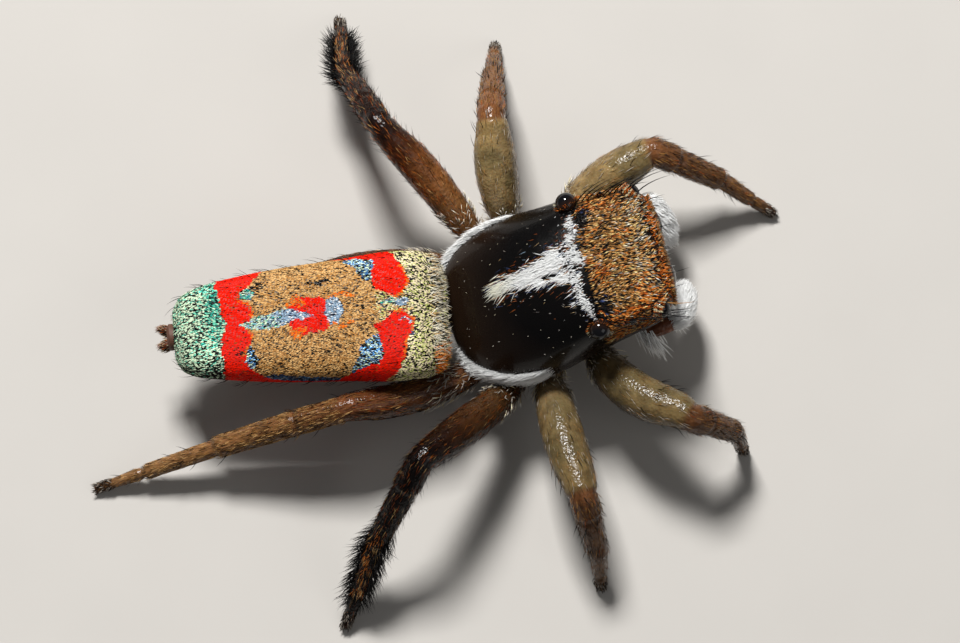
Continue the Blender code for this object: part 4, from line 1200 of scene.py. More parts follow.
# Colour at the coxa root, the hip, the middle of the femur, before the knee, at the knee, at the ends of
# patella, tibia and metatarsus, and at the toe
LEG_COLOURS = {
    1: ((0.22, 0.15, 0.090), (0.188, 0.134, 0.068), (0.172, 0.120, 0.052), (0.166, 0.114, 0.046),
        (0.110, 0.044, 0.016), (0.098, 0.042, 0.015), (0.096, 0.042, 0.014), (0.092, 0.042, 0.014),
        (0.045, 0.020, 0.008)),
    3: ((0.27, 0.15, 0.076), (0.29, 0.142, 0.054), (0.26, 0.102, 0.030), (0.060, 0.018, 0.006),
        (0.015, 0.006, 0.004), (0.018, 0.007, 0.004), (0.014, 0.007, 0.004), (0.020, 0.010, 0.006),
        (0.030, 0.015, 0.008)),
    4: ((0.22, 0.12, 0.070), (0.150, 0.062, 0.026), (0.105, 0.038, 0.014), (0.105, 0.036, 0.013),
        (0.165, 0.060, 0.022), (0.170, 0.076, 0.028), (0.210, 0.100, 0.038), (0.240, 0.125, 0.050),
        (0.130, 0.062, 0.026)),
}
LEG_COLOURS[2] = LEG_COLOURS[1]
LEG_PAINTED_LIGHT = {  # painted light and shade: how much brighter or darker each leg's colours are painted where light and haze fall on it differently
    "leg1_left": 1.60, "leg2_left": 1.75, "leg3_left": 0.95, "leg3_right": 0.20, "leg4_right": 1.05,
}
KNEE_COLOUR_START = {1: 0.03, 2: 0.03, 3: 0.22, 4: 0.10}  # how far before the knee its colour starts

# Fine hairs by pair: their density past the knee and before it, and their colours before it and past it
DOWN_PAST_KNEE = {1: 1000, 2: 1000, 3: 1700, 4: 2400}
DOWN_BEFORE_KNEE = {1: 200, 2: 200, 3: 420, 4: 1000}
DOWN_COLOURS = {
    1: (((0.35, GREY), (0.35, BRONZE), (0.30, BROWN)), ((0.06, RUST), (0.34, BRONZE), (0.60, BROWN))),
    3: (((0.28, RUST), (0.15, COPPER), (0.09, SAND), (0.48, BLACK)),
        ((0.16, RUST), (0.09, SAND), (0.75, BLACK))),
    4: (((0.25, BRONZE), (0.15, RUST), (0.06, SAND), (0.54, BLACK)),
        ((0.34, BRONZE), (0.26, SAND), (0.40, BROWN))),
}
DOWN_COLOURS[2] = DOWN_COLOURS[1]


def leg_tints(name, limb, grid, at, turn):
    """Colour along a leg from joint to joint, mottled, olive in clouds on the front femurs, with painted
    light and shade: paler above, darker below, brighter or darker on some legs.
    """
    hip, knee, patella_end, ankle, tarsus_start = limb.joints
    pair = int(name[3])
    knee_start = knee - KNEE_COLOUR_START[pair]
    stops = (0, hip, 0.5 * (hip + knee), knee_start, knee, patella_end, ankle, tarsus_start, limb.length)
    colours = np.array(LEG_COLOURS[pair])
    colour = np.stack([smooth(stops, colours[:, i], at) for i in range(3)], axis=-1)
    if pair < 3:
        cloud = np.clip((value_noise(grid, 0.20, 6) - 0.52) / 0.12, 0, 1) * (at < knee_start)
        colour = colour + (np.array(OLIVE) - colour) * 0.6 * cloud[..., None]
    mottle = value_noise(grid, 0.16, 4) * 0.6 + value_noise(grid, 0.045, 5) * 0.4
    # Painted light and shade: the top of the leg paler, the underside darker, and each leg scaled by its
    # painted light.
    strength = (0.50 + 1.00 * mottle) * (0.90 + 0.14 * np.sin(turn)) * LEG_PAINTED_LIGHT.get(name, 1.0)
    return tinted(colour, strength)


def build_legs():
    """Each leg one skin from the coxa to the toe, a little drawn in at the joints."""
    for name in POSE:
        limb = leg_limb(name)
        at = np.linspace(0, limb.length, 260)[:, None]
        turn = turns_round(30)[None]
        grid = limb.shape(at, turn)
        tints = leg_tints(name, limb, grid, at + 0 * turn, turn)
        piece = closed_surface(f"{name}_skin", looks("cuticle"), grid, tints)
        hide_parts(f"{name}_femur", f"{name}_shin", f"{name}_foot")


def leg_roots(limb, first, last, density, seed):
    """Roots on a leg between two shares of its length."""
    stretch = (first * limb.length, last * limb.length)
    return Roots(limb.shape, stretch, (0, 2 * math.pi), density, seed, jitter=4.0)


def fine_leg_hair(name, limb, number):
    """Thin hairs that lie along the leg towards its tip, few on the front legs and many on the rear ones."""
    coat = bpy.context.scene.spider_coat
    pair = int(name[3])
    roots = leg_roots(limb, 0.06, 0.985, DOWN_PAST_KNEE[pair], 100 + number)
    knee = limb.joints[1]
    beyond = np.clip((roots.u - knee + 0.08) / 0.16, 0, 1)
    thinned = DOWN_BEFORE_KNEE[pair] / DOWN_PAST_KNEE[pair]
    roots.keep(roots.noise() < thinned + (1 - thinned) * beyond)
    beyond = roots.u > knee
    near, far = DOWN_COLOURS[pair]
    colours = np.where(beyond[:, None], pick(roots.noise(), far), pick(roots.noise(), near))
    lift, scatter = (roots.spread(0.04, 0.15), 0.13) if pair == 4 else (roots.spread(0.10, 0.30), 0.20)
    share = roots.u / limb.length
    size = coat.leg_hair_length / MM * roots.spread(0.7, 1.3) * smooth((0, 0.8, 1), (1, 0.9, 0.6), share)
    # The hairs carry their leg's painted light and shade too, more weakly.
    blades(
        f"{name}_down", looks("down"), roots.sunk(0.002),
        roots.lie(roots.ahead, lift, scatter), roots.normal, size, size * 0.019,
        tinted(colours, roots.spread(0.6, 1.2) * LEG_PAINTED_LIGHT.get(name, 1.0) ** 0.5),
        unwrap_of(roots, (0, limb.length)), thickness=0.6, bend=-0.06)


def leg_bristles(name, limb, number):
    """Dark bristles: a few on most legs, a dense brush along both sides of the third pair."""
    coat = bpy.context.scene.spider_coat
    brush = "leg3" in name
    roots = leg_roots(limb, 0.26 if brush else 0.40, 0.97, 3000 if brush else 22, 200 + number)
    length = coat.brush_length / MM if brush else 0.15
    top = np.sin(roots.v) > 0.72
    if brush:
        _, knee, _, ankle, tarsus_start = limb.joints
        stops = (
            knee - 0.40, knee, ankle - 0.30, ankle - 0.08, tarsus_start, tarsus_start + 0.14, limb.length)
        grown = smooth(stops, (0.02, 0.08, 0.16, 1.0, 1.0, 0.6, 0.4), roots.u)
        reach = smooth(stops, (0.7, 0.7, 0.8, 1.35, 1.35, 0.7, 0.4), roots.u)
        chosen = roots.noise() < grown * np.where(top, 0.45, 1.0)
        roots.keep(chosen)
        top, length = top[chosen], length * reach[chosen]
    share = roots.u / limb.length
    size = length * roots.spread(0.55, 1.15) * smooth((0, 0.86, 1), (1, 0.95, 0.45), share)
    size *= np.where(top & brush, 0.55, 1.0)
    ridge = pick(roots.noise(), ((0.32, COPPER), (0.18, SAND), (0.50, BLACK)))
    colours = np.where((top & brush)[:, None], ridge, BLACK)
    lift = roots.spread(0.45, 1.25) if brush else roots.spread(0.5, 0.9)
    lift = np.where(top & brush, 0.25, lift)
    blades(
        f"{name}_bristles", looks("bristle"), roots.sunk(0.004),
        roots.lie(roots.ahead, lift, 0.22), roots.normal, size, size * (0.017 if brush else 0.030),
        tinted(colours), unwrap_of(roots, (0, limb.length)),
        outline=((0.0, 1.0), (0.55, 0.75)), thickness=0.7, bend=-0.12)


def coxa_hair(limb, name, number):
    """Pale hairs round the base of each leg."""
    roots = leg_roots(limb, 0.09, 0.21, 300, 300 + number)
    blades(
        f"{name}_base_hair", looks("white"), roots.place, roots.lie(roots.ahead, 0.5, 0.4), roots.normal,
        roots.spread(0.08, 0.15), roots.spread(0.004, 0.006),
        tinted(pick(roots.noise(), ((0.7, GREY), (0.3, CREAM))), roots.spread(0.5, 1.0)),
        unwrap_of(roots, (0, limb.length)), thickness=0.6, bend=-0.15)


def claw_tuft(limb, name, number):
    """The dark tuft of short hairs at the toe."""
    roots = leg_roots(limb, 0.955, 1.0, 3200, 400 + number)
    blades(
        f"{name}_claw_tuft", looks("bristle"), roots.place, roots.lie(roots.ahead, 0.55, 0.3), roots.normal,
        roots.spread(0.035, 0.06), roots.spread(0.003, 0.004),
        tinted(pick(roots.noise(), ((0.6, BROWN), (0.4, GREY))), roots.spread(0.5, 1.0)),
        unwrap_of(roots, (0, limb.length)), thickness=0.7)


# Palps, jaws and underside

def build_palps():
    """Both pedipalps, red-brown skin up to the white tip."""
    for side, sign in SIDES:
        limb = palp_limb(sign)
        at = np.linspace(0, limb.length, 90)[:, None]
        turn = turns_round(28)[None]
        grid = limb.shape(at, turn)
        share = at / limb.length + 0 * turn
        colour = blend((0.17, 0.060, 0.028), (0.66, 0.62, 0.57), (share - 0.60) / 0.08)
        strength = 0.7 + 0.6 * value_noise(grid, 0.06, 4)
        piece = closed_surface(f"palp_{side}_skin", looks("cuticle"), grid, tinted(colour, strength))
        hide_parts(f"palp_{side}_upper", f"palp_{side}_tip")


def build_jaws():
    """The two upright jaws, tapering to the fangs."""
    heights = np.array((CLYPEUS_FLOOR - 0.012, 0.90, 0.74, 0.60, 0.49, 0.44))
    lengths = (0.120, 0.155, 0.150, 0.120, 0.085, 0.045)
    widths = (0.110, 0.130, 0.130, 0.112, 0.085, 0.05)
    level = np.linspace(heights[0], heights[-1], 40)[:, None]
    turn = turns_round(32)[None]
    long = smooth(-heights, lengths, -level)
    wide = smooth(-heights, widths, -level)
    for side, sign in SIDES:
        down = CLYPEUS_FLOOR - level
        along = -0.255 - 0.05 * down + long * np.cos(turn)
        left = sign * (0.150 + 0.02 * down) + wide * np.sin(turn)
        grid = head_point(along, left, level)
        strength = 0.7 + 0.5 * value_noise(grid, 0.05, 6)
        piece = closed_surface(f"chelicera_{side}_skin", looks("cuticle"), grid,
                               tinted((0.13, 0.045, 0.02), strength), -1)
        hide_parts(f"chelicera_{side}")


def shield_grid(middle, left, length, width, levels):
    """Ovals stacked by height, each a share of the full size."""
    heights, shares = (np.array(column) for column in zip(*levels))
    step = np.linspace(0, len(heights) - 1, 24)
    height = np.interp(step, np.arange(len(heights)), heights)[:, None]
    share = smooth(np.arange(len(heights)), shares, step)[:, None]
    turn = turns_round(48)[None]
    return head_point(middle + length * share * np.cos(turn), left + width * share * np.sin(turn), height)


def build_underside():
    """Sternum with the mouth plates, the narrow waist and the spinnerets."""
    top = CARAPACE_FLOOR - 0.016
    shapes = [shield_grid(
        STERNUM_MIDDLE, 0, *STERNUM_HALF, ((top, 1.0), (0.60, 1.0), (0.50, 0.86), (STERNUM_BOTTOM, 0.55)))]
    for left in (0.13, -0.13):
        steps = ((0.64, 0.9), (0.56, 1.0), (0.47, 0.95), (0.43, 0.6))
        shapes.append(shield_grid(-0.66, left, 0.19, 0.105, steps))
    brown = (0.075, 0.040, 0.022)
    for number, grid in enumerate(shapes):
        strength = 0.7 + 0.5 * value_noise(grid, 0.08, 12)
        name = ("sternum_skin", "mouth_plate_left", "mouth_plate_right")[number]
        piece = closed_surface(name, looks("body"), grid, tinted(brown, strength), -1)
        if number == 0:
            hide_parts("sternum")
    waist = [
        head_point(STERNUM_MIDDLE - STERNUM_HALF[0] - 0.024, 0, 0.60), head_point(-2.14, 0, 0.60),
        head_point(-2.26, 0, 0.66), abdomen_point(0.035, 0, 0.82)]
    build_tube("pedicel_skin", waist, (0.055, 0.050, 0.050, 0.060), "pedicel")
    back = ABDOMEN_LENGTH
    base = [abdomen_point(back + 0.016 + k, 0, 0.93) for k in (-0.03, 0.03, 0.06)]
    build_tube("spinneret_base", base, (0.13, 0.135, 0.10), "spinnerets")
    for number, (left, height, reach, half) in enumerate((
        (0.070, 0.955, 0.155, 0.036), (0.075, 0.885, 0.130, 0.040), (0.030, 0.915, 0.100, 0.025)
    )):
        for side, sign in SIDES:
            start = abdomen_point(back + 0.036, sign * left, height)
            end = abdomen_point(back + reach, sign * left * 1.25, height - 0.012)
            path = [start, start * 0.4 + end * 0.6, end]
            limb = build_tube(f"spinneret_{number}_{side}", path, (half, half, half * 0.55))
            roots = Roots(limb.shape, (0.15 * limb.length, limb.length), (0, 2 * math.pi), 4200, 600 + number)
            colours = pick(roots.noise(), ((0.4, RUST), (0.3, CREAM), (0.3, BROWN)))
            tints = tinted(colours, roots.spread(0.6, 1.1))
            blades(
                f"spinneret_{number}_{side}_hair", looks("down"), roots.place,
                roots.lie(roots.ahead, 0.4, 0.3), roots.normal, roots.spread(0.03, 0.07),
                roots.spread(0.002, 0.003), tints, unwrap_of(roots, (0, limb.length)), thickness=0.6)


def build_tube(name, path, halves, node=None):
    """A brown limb of the underside, which may stand for a solid."""
    limb = Limb(path, halves)
    at = np.linspace(0, limb.length, 24)[:, None]
    grid = limb.shape(at, turns_round(24)[None])
    strength = 0.7 + 0.6 * value_noise(grid, 0.03, 8)
    piece = closed_surface(name, looks("body"), grid, tinted((0.12, 0.045, 0.022), strength))
    if node:
        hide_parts(node)
    return limb


# Hair of the head

def crown_coat():
    """Flat hairs between the eyes: golden brown with dark gaps, coppery at the sides and in patches.

    A dark spot lies before each rear eye, and the orange ones lean forwards over the face.
    """
    coat = bpy.context.scene.spider_coat
    roots = Roots(
        carapace_shape, (-0.86, -FACE_DEPTH - 0.005), (0.10, math.pi - 0.10), coat.crown_density, 61)
    along, left = head_places(roots.place)
    roots.keep(roots.noise() < crown_cover(along, left))
    for sign in (1, -1):
        centre, radius, _, _, _ = eye_axes("eye_front_side", sign)
        roots.keep(np.linalg.norm(roots.place - centre, axis=-1) > 1.10 * radius)
    along, left = head_places(roots.place)
    patches = value_noise(roots.place, 0.11, 2)
    sides = np.clip((np.abs(left) - 0.44) / 0.16, 0, 1)
    corner = np.clip((along + 0.45) / 0.25, 0, 1) * np.clip((-0.30 - left) / 0.20, 0, 1)
    warm = np.clip(1.3 * patches - 0.55 + 0.6 * sides + 0.5 * corner, 0, 0.85)
    front = np.clip((along + 0.40) / 0.25, 0, 1)
    plain = pick(roots.noise(), ((0.24, BRONZE), (0.26, GOLD), (0.14, SAND), (0.06, GREY), (0.30, BLACK)))
    pale = pick(roots.noise(), ((0.18, GOLD), (0.24, SAND), (0.22, GREY), (0.06, CREAM), (0.30, BLACK)))
    bright = pick(roots.noise(), ((0.40, COPPER), (0.18, RUST), (0.14, SAND), (0.28, BLACK)))
    colours = np.where((roots.noise() < front)[:, None], pale, plain)
    colours = np.where((roots.noise() < warm)[:, None], bright, colours)
    rear = np.exp(-(((along + 0.70) / 0.085) ** 2) - ((np.abs(left) - 0.47) / 0.13) ** 2)
    dusk = pick(roots.noise(), ((0.82, BLACK), (0.06, INDIGO), (0.09, BROWN), (0.03, GREY)))
    colours = np.where((roots.noise() < 1.25 * rear)[:, None], dusk, colours)
    outward = np.sign(left)[:, None] * HEAD_LEFT * np.clip(np.abs(left) - 0.15, 0, 1)[:, None]
    swirl = (value_noise(roots.place, 0.16, 5) - 0.5)[:, None] * HEAD_LEFT
    way = -HEAD_FORWARD - 0.9 * outward + 1.2 * swirl
    brow = roots.noise() < np.clip((along + 0.165) / 0.09, 0, 1)
    way = np.where(brow[:, None], HEAD_FORWARD + 0.4 * swirl, way)
    fiery = brow & (roots.noise() < 0.75)
    flames = pick(roots.noise(), ((0.45, ORANGE), (0.25, COPPER), (0.10, CREAM), (0.20, BLACK)))
    colours = np.where(fiery[:, None], flames, colours)
    over_eye = np.exp(-(((np.abs(left) - EYES["eye_front_middle"][1]) / 0.13) ** 2))
    size = coat.crown_length / MM * roots.spread(0.7, 1.25) * np.where(brow, 0.48 + 0.30 * over_eye, 1.0)
    blades(
        "crown_hair_coat", looks("crown"), roots.sunk(0.003),
        roots.lie(way, roots.spread(0.14, 0.40), 0.26), roots.normal, size, size * 0.088,
        tinted(colours, roots.spread(0.45, 1.85)), unwrap_of(roots, (-CARAPACE_LENGTH, 0)),
        outline=((0.0, 0.6), (0.5, 1.0)), thickness=0.35)


def streak_edge(along, left):
    """How far outside the white bar or the streak behind it a place lies; negative inside them."""
    steep = 10.0  # what a distance past their ends counts for
    bar_line = smooth(
        (-0.55, -0.42, -0.28, -0.10, 0.08, 0.27, 0.45, 0.52),
        (-0.839, -0.885, -0.925, -0.895, -0.865, -0.890, -0.837, -0.815), left)
    bar_half = smooth(
        (-0.57, -0.42, -0.28, 0.05, 0.27, 0.45, 0.54), (0.02, 0.05, 0.045, 0.05, 0.045, 0.03, 0.01), left)
    bar = np.abs(along - bar_line) - bar_half + steep * np.clip(np.abs(left) - 0.555, 0, 1)
    stations = (-1.78, -1.74, -1.56, -1.37, -1.20, -1.05, -0.92, -0.88)
    middle = smooth(stations, (-0.005, 0.0, 0.04, 0.040, 0.040, 0.04, 0.05, 0.05), along)
    half = smooth(stations, (0.02, 0.055, 0.068, 0.092, 0.138, 0.182, 0.23, 0.05), along)
    streak = np.abs(left - middle) - half + steep * np.clip(-1.78 - along, 0, 1)
    return np.minimum(bar, streak)


def white_streak():
    """The white bar and the streak behind it, fringed with dark blue, brown and red-brown hairs."""
    coat = bpy.context.scene.spider_coat
    roots = Roots(carapace_shape, (-1.72, -0.76), (0.42, math.pi - 0.42), 7600, 71)
    along, left = head_places(roots.place)
    outside = streak_edge(along, left) + 0.07 * (value_noise(roots.place, 0.045, 7) - 0.5)
    white = np.clip(0.5 - outside / 0.05, 0, 1)
    beside = np.maximum(outside, 0)
    fringe = 0.26 * np.exp(-((beside / 0.06) ** 2)) + 0.05 * np.exp(-((beside / 0.14) ** 2))
    fringe = fringe * (along < -0.84)
    thin = np.clip((-1.48 - along) / 0.10, 0, 0.45)
    gap = np.zeros_like(along)
    for middle_along, middle_left, reach in (
        (-0.905, -0.03, 0.048), (-0.985, 0.02, 0.034), (-1.16, -0.10, 0.045), (-0.96, 0.19, 0.040),
        (-0.90, 0.37, 0.035)
    ):
        gap = np.maximum(gap, np.exp(-((along - middle_along) ** 2 + (left - middle_left) ** 2) / reach**2))
    chosen = roots.noise() < np.maximum(white * (1 - thin) * (1 - 0.8 * gap), fringe)
    is_white = roots.noise() < np.maximum(white * (1 - 0.9 * gap), 0.12 * (beside > 0))
    roots.keep(chosen)
    is_white, beside = is_white[chosen], beside[chosen]
    along, left = head_places(roots.place)
    outer = pick(roots.noise(), ((0.26, INDIGO), (0.03, SKY), (0.30, RUST), (0.06, SAND), (0.35, BROWN)))
    pale = blend(coat.streak_colour, np.array((0.84, 0.82, 0.66)), (-1.45 - along) / 0.2)
    colours = np.where(is_white[:, None], pale, outer)
    size = coat.streak_length / MM * roots.spread(0.45, 1.0) * np.where(along > -0.98, 0.50, 1.0)
    size *= 1 + 0.5 * np.clip((-1.50 - along) / 0.2, 0, 1)
    size *= np.where(beside > 0.02, 0.65, 1.0)
    way = -HEAD_FORWARD - 0.12 * HEAD_LEFT
    blades(
        "white_streak_coat", looks("white"), roots.sunk(0.003),
        roots.lie(way, roots.spread(0.08, 0.26), 0.26), roots.normal, size,
        np.where(is_white, roots.spread(0.0042, 0.0058), 0.0028),
        tinted(colours, np.where(is_white, roots.spread(0.92, 1.07), roots.spread(0.4, 0.9))),
        unwrap_of(roots, (-CARAPACE_LENGTH, 0)), thickness=0.22, smooth_shading=False)


def side_bands():
    """White hairs in a smooth band along both rear margins of the carapace, reaching out from its edge."""
    for side, first, last in (("left", -0.70, 0.30), ("right", math.pi - 0.30, math.pi + 0.70)):
        roots = Roots(carapace_shape, (-2.20, -1.30), (first, last), 6000, 81)
        along, _ = head_places(roots.place)
        roots.keep(roots.noise() < np.clip((-1.32 - along) / 0.14, 0, 1))
        along, _ = head_places(roots.place)
        outward = HEAD_LEFT * (1 if side == "left" else -1)
        way = -1.3 * HEAD_FORWARD + 0.35 * outward - 0.15 * UP
        size = roots.spread(0.12, 0.20) * smooth((-2.20, -1.95, -1.5, -1.3), (0.55, 1.0, 1.0, 0.5), along)
        blades(
            f"white_band_{side}", looks("white"), roots.sunk(0.003),
            roots.lie(way, roots.spread(0.35, 0.75), 0.07), roots.normal, size, size * 0.036,
            tinted(WHITE, roots.spread(0.92, 1.07)), unwrap_of(roots, (-CARAPACE_LENGTH, 0)),
            thickness=0.25, bend=-0.28, smooth_shading=False)


def shell_specks():
    """Tiny pale hairs scattered over the black thorax."""
    roots = Roots(carapace_shape, (-2.15, -0.90), (0.15, math.pi - 0.15), 90, 91)
    roots.keep(roots.noise() < 0.15 + 0.5 * value_noise(roots.place, 0.25, 3))
    blades(
        "thorax_hair", looks("white"), roots.place, roots.lie(-HEAD_FORWARD, 0.4, 0.8), roots.normal,
        roots.spread(0.010, 0.030), roots.spread(0.0018, 0.0034),
        tinted(pick(roots.noise(), ((0.6, GREY), (0.4, CREAM))), roots.spread(0.4, 1.0)),
        unwrap_of(roots, (-CARAPACE_LENGTH, 0)))


# Hairs round an outer eye: their number, the first and last angle from the way it looks, how far they
# lean outwards, and the share of orange ones
EYE_RIMS = {
    "eye_front_side": (760, 1.25, 2.20, 0.35, 0.45),
    "eye_small": (50, 1.40, 1.75, 0.9, 0.14),
    "eye_rear": (170, 1.40, 1.75, 0.9, 0.14),
}


def eye_rims():
    """Hairs round the six outer eyes: coppery, orange and brown ones above, pale ones below.

    Each root lies on the eye's ball, at an angle from the way that the eye looks and a turn round it.
    """
    for name, (count, first, last, lean, fiery) in EYE_RIMS.items():
        for side_name, sign in SIDES:
            centre, radius, look, side, top = eye_axes(name, sign)
            random = np.random.default_rng(len(name) + sign)
            turn = random.uniform(0, 2 * math.pi, (count, 1))
            polar = random.uniform(first, last, (count, 1))
            radial = side * np.cos(turn) + top * np.sin(turn)
            normal = look * np.cos(polar) + radial * np.sin(polar)
            roots = centre + normal * radius * random.uniform(1.0, 1.06, (count, 1))
            direction = normal * lean + look * random.uniform(0.2, 0.7, (count, 1))
            direction = direction + random.normal(0, 0.10, (count, 3))
            upper = np.sin(turn) > -0.15
            stripe = (np.sin(turn * 13) > 0.35) & (name == "eye_front_side")
            shares = ((0.40, COPPER), (fiery, ORANGE), (0.54 - fiery, BROWN), (0.06, SAND))
            warm = pick(random.random(count), shares)
            warm = np.where(stripe, np.array(CREAM), warm)
            cool = pick(random.random(count), ((0.5, CREAM), (0.2, WHITE), (0.3, BROWN)))
            length = radius * 0.12 + random.uniform(0.014, 0.030, count)
            unwrap = np.concatenate((0.2 + 0.02 * np.cos(turn), 0.5 + 0.3 * np.sin(turn)), axis=-1)
            unwrap[:, 0] += 0.05 * list(EYES).index(name) + 0.3 * (sign > 0)
            blades(
                f"{name}_{side_name}_rim", looks("crown"), roots, direction, radial, length, length * 0.070,
                tinted(np.where(upper, warm, cool), random.uniform(0.7, 1.2, count)), unwrap,
                bend=-0.05)


def face_coat():
    """Hairs of the face: striped rings that lean over the two front eyes, brown round them, pale below."""
    roots = Roots(face_shape, (0.06, 0.995), (0, 2 * math.pi), 9500, 95, -1)
    eye_left, eye_height = EYES["eye_front_middle"][1:3]

    def round_eye():
        _, left = head_places(roots.place)
        aside = np.abs(left) - eye_left
        above = roots.place[:, 2] - eye_height
        return np.sign(left), aside, above, np.hypot(aside, above)

    _, _, _, reach = round_eye()
    roots.keep(reach > 0.182)
    side, aside, above, reach = round_eye()
    outward = HEAD_LEFT * (side * aside / reach)[:, None] + UP * (above / reach)[:, None]
    ring = reach < 0.262
    upper = above > -0.06
    stripe = np.sin(np.arctan2(above, aside) * 17) > 0.30
    warm = pick(roots.noise(), ((0.50, COPPER), (0.22, ORANGE), (0.28, BROWN)))
    warm = np.where(stripe[:, None], np.array(CREAM), warm)
    cool = pick(roots.noise(), ((0.55, CREAM), (0.30, WHITE), (0.15, BROWN)))
    brow = pick(roots.noise(), ((0.24, COPPER), (0.22, BRONZE), (0.18, SAND), (0.36, BLACK)))
    cheek = pick(roots.noise(), ((0.40, CREAM), (0.25, SAND), (0.35, BROWN)))
    colours = np.where(
        ring[:, None], np.where(upper[:, None], warm, cool), np.where(upper[:, None], brow, cheek))
    over = HEAD_FORWARD - 0.50 * outward
    rise = np.where(upper, 0.35, -0.6)[:, None]
    along_face = HEAD_FORWARD * 0.7 + UP * rise + 0.5 * HEAD_LEFT * side[:, None]
    direction = np.where(ring[:, None], over, along_face) + roots.random.normal(0, 0.12, (len(roots), 3))
    size = roots.spread(0.046, 0.070)
    blades(
        "face_hair_coat", looks("crown"), roots.sunk(0.003), direction, outward, size,
        size * 0.070, tinted(colours, roots.spread(0.7, 1.2)), unwrap_of(roots, (0, 1), 0.97, 0.03),
        outline=((0.0, 0.7), (0.5, 1.0)), thickness=0.4, bend=-0.08)


def face_hair():
    """White hairs of the face's lower edge that hang before the jaws."""
    random = np.random.default_rng(17)
    count = 1300
    left = random.uniform(-0.58, 0.58, count)
    height = random.uniform(1.04, 1.20, count)
    along = -FACE_DEPTH - 0.02 + random.uniform(-0.01, 0.03, count) - 0.25 * np.clip(np.abs(left) - 0.4, 0, 1)
    roots = head_point(along, left, height)
    out = HEAD_LEFT * (0.35 * left)[:, None]
    direction = HEAD_FORWARD * 0.75 - UP * random.uniform(0.5, 1.2, count)[:, None] + out
    length = random.uniform(0.10, 0.19, count)
    unwrap = np.stack((0.96 + 0.02 * random.random(count), 0.5 + 0.4 * left), axis=-1)
    blades(
        "face_fringe", looks("white"), roots, direction + random.normal(0, 0.10, (count, 3)), HEAD_FORWARD,
        length, length * 0.04, tinted(WHITE, random.uniform(0.75, 1.1, count)), unwrap,
        thickness=0.4, bend=-0.15)


def palp_hair():
    """Dense white hairs of the palps' tips, and the fan of broad ones at each elbow."""
    for number, (side, sign) in enumerate(SIDES):
        limb = palp_limb(sign)
        roots = Roots(
            limb.shape, (0.52 * limb.length, 0.985 * limb.length), (0, 2 * math.pi), 6800, 500 + number)
        roots.keep(np.sum(roots.normal * (HEAD_FORWARD + 0.5 * UP), axis=-1) > -0.35)
        way = roots.ahead + 0.25 * HEAD_FORWARD
        size = roots.spread(0.09, 0.16)
        blades(
            f"palp_{side}_hair", looks("white"), roots.place, roots.lie(way, roots.spread(0.20, 0.50), 0.14),
            roots.normal, size, size * 0.046, tinted(WHITE, roots.spread(0.95, 1.07)),
            unwrap_of(roots, (0, limb.length)), thickness=0.25, bend=-0.2, smooth_shading=False)
        elbow = (0.19 * limb.length, 0.37 * limb.length)
        fan = Roots(limb.shape, elbow, (0, 2 * math.pi), 1100, 520 + number)
        outward = HEAD_LEFT * sign
        fan.keep(np.sum(fan.normal * outward, axis=-1) > 0.1)
        direction = outward + 0.34 * HEAD_FORWARD + 0.10 * UP + fan.random.normal(0, 0.11, (len(fan), 3))
        size = fan.spread(0.20, 0.32)
        blades(
            f"palp_{side}_fan", looks("white"), fan.place, direction, UP, size, np.full(len(fan), 0.0095),
            tinted(WHITE, fan.spread(0.9, 1.07)), unwrap_of(fan, (0, limb.length)),
            outline=((0.0, 0.7), (0.35, 1.0), (0.7, 0.7)), thickness=0.25, bend=-0.22, smooth_shading=False)


def brow_bristles():
    """Long thin bristles that rise from beside the eyes and over the face, and curve forwards."""
    random = np.random.default_rng(29)
    rows = []
    for sign in (1, -1):
        for i in range(11):
            rows.append((-0.74 + 0.055 * i, sign * 0.63, 1.60, 0.75 + 0.04 * i, sign * 0.62, 0.42))
        for i in range(4):
            outward = sign * (0.5 - 0.12 * i)
            rows.append((-0.12 - 0.03 * i, sign * (0.58 - 0.15 * i), 1.63, 1.0, outward, 0.45))
    along, left, height, ahead, out, rise = (np.array(column) for column in zip(*rows))
    count = len(rows)
    roots = head_point(along, left, height)
    direction = HEAD_FORWARD * ahead[:, None] + HEAD_LEFT * out[:, None] + UP * rise[:, None]
    direction = direction + random.normal(0, 0.10, (count, 3))
    facing = -HEAD_FORWARD + 0.6 * HEAD_LEFT * np.sign(left)[:, None] + 0.8 * UP
    length = random.uniform(0.30, 0.46, count) * np.where(np.abs(left) < 0.6, 0.80, 1.0)
    unwrap = np.stack((0.6 + 0.3 * random.random(count), 0.25 + 0.1 * left), axis=-1)
    blades(
        "brow_bristles", looks("bristle"), roots, direction, facing, length, np.full(count, 0.0064),
        tinted(pick(random.random(count), ((0.85, BLACK), (0.15, BRONZE)))), unwrap,
        outline=((0.0, 1.0), (0.2, 0.95), (0.4, 0.8), (0.6, 0.62), (0.8, 0.4)), thickness=0.8, bend=-0.42)


# Stage

def build_floor(settings):
    """A wide level square at the frame's zero height, very slightly mottled."""
    corners = FLOOR_HALF * np.array(((-1, -1, 0), (1, -1, 0), (1, 1, 0), (-1, 1, 0))) - OFFSET
    mesh = mesh_from_triangles("floor", corners, np.array(((0, 1, 2), (0, 2, 3))))
    look = Look("plain_floor")
    low = tuple(settings.floor_colour) + (1.0,)
    high = tuple(0.94 * c for c in settings.floor_colour) + (1.0,)
    mesh.materials.append(look.set(Base_Color=look.mix(look.grain(1.5, 4.0), low, high), Roughness=0.9))
    floor = bpy.data.objects.new("floor", mesh)
    bpy.context.scene.collection.objects.link(floor)


def add_light(name, direction, distance, size, power):
    """A square soft light that looks at the spider."""
    lamp = bpy.data.lights.new(name, "AREA")
    lamp.size = size * MM
    lamp.energy = power
    holder = bpy.data.objects.new(name, lamp)
    away = Vector(direction).normalized()
    holder.location = Vector(in_frame(np.array(LIGHT_AIM))) + away * distance * MM
    holder.rotation_mode = "QUATERNION"
    holder.rotation_quaternion = away.to_track_quat("Z", "Y")
    bpy.context.scene.collection.objects.link(holder)


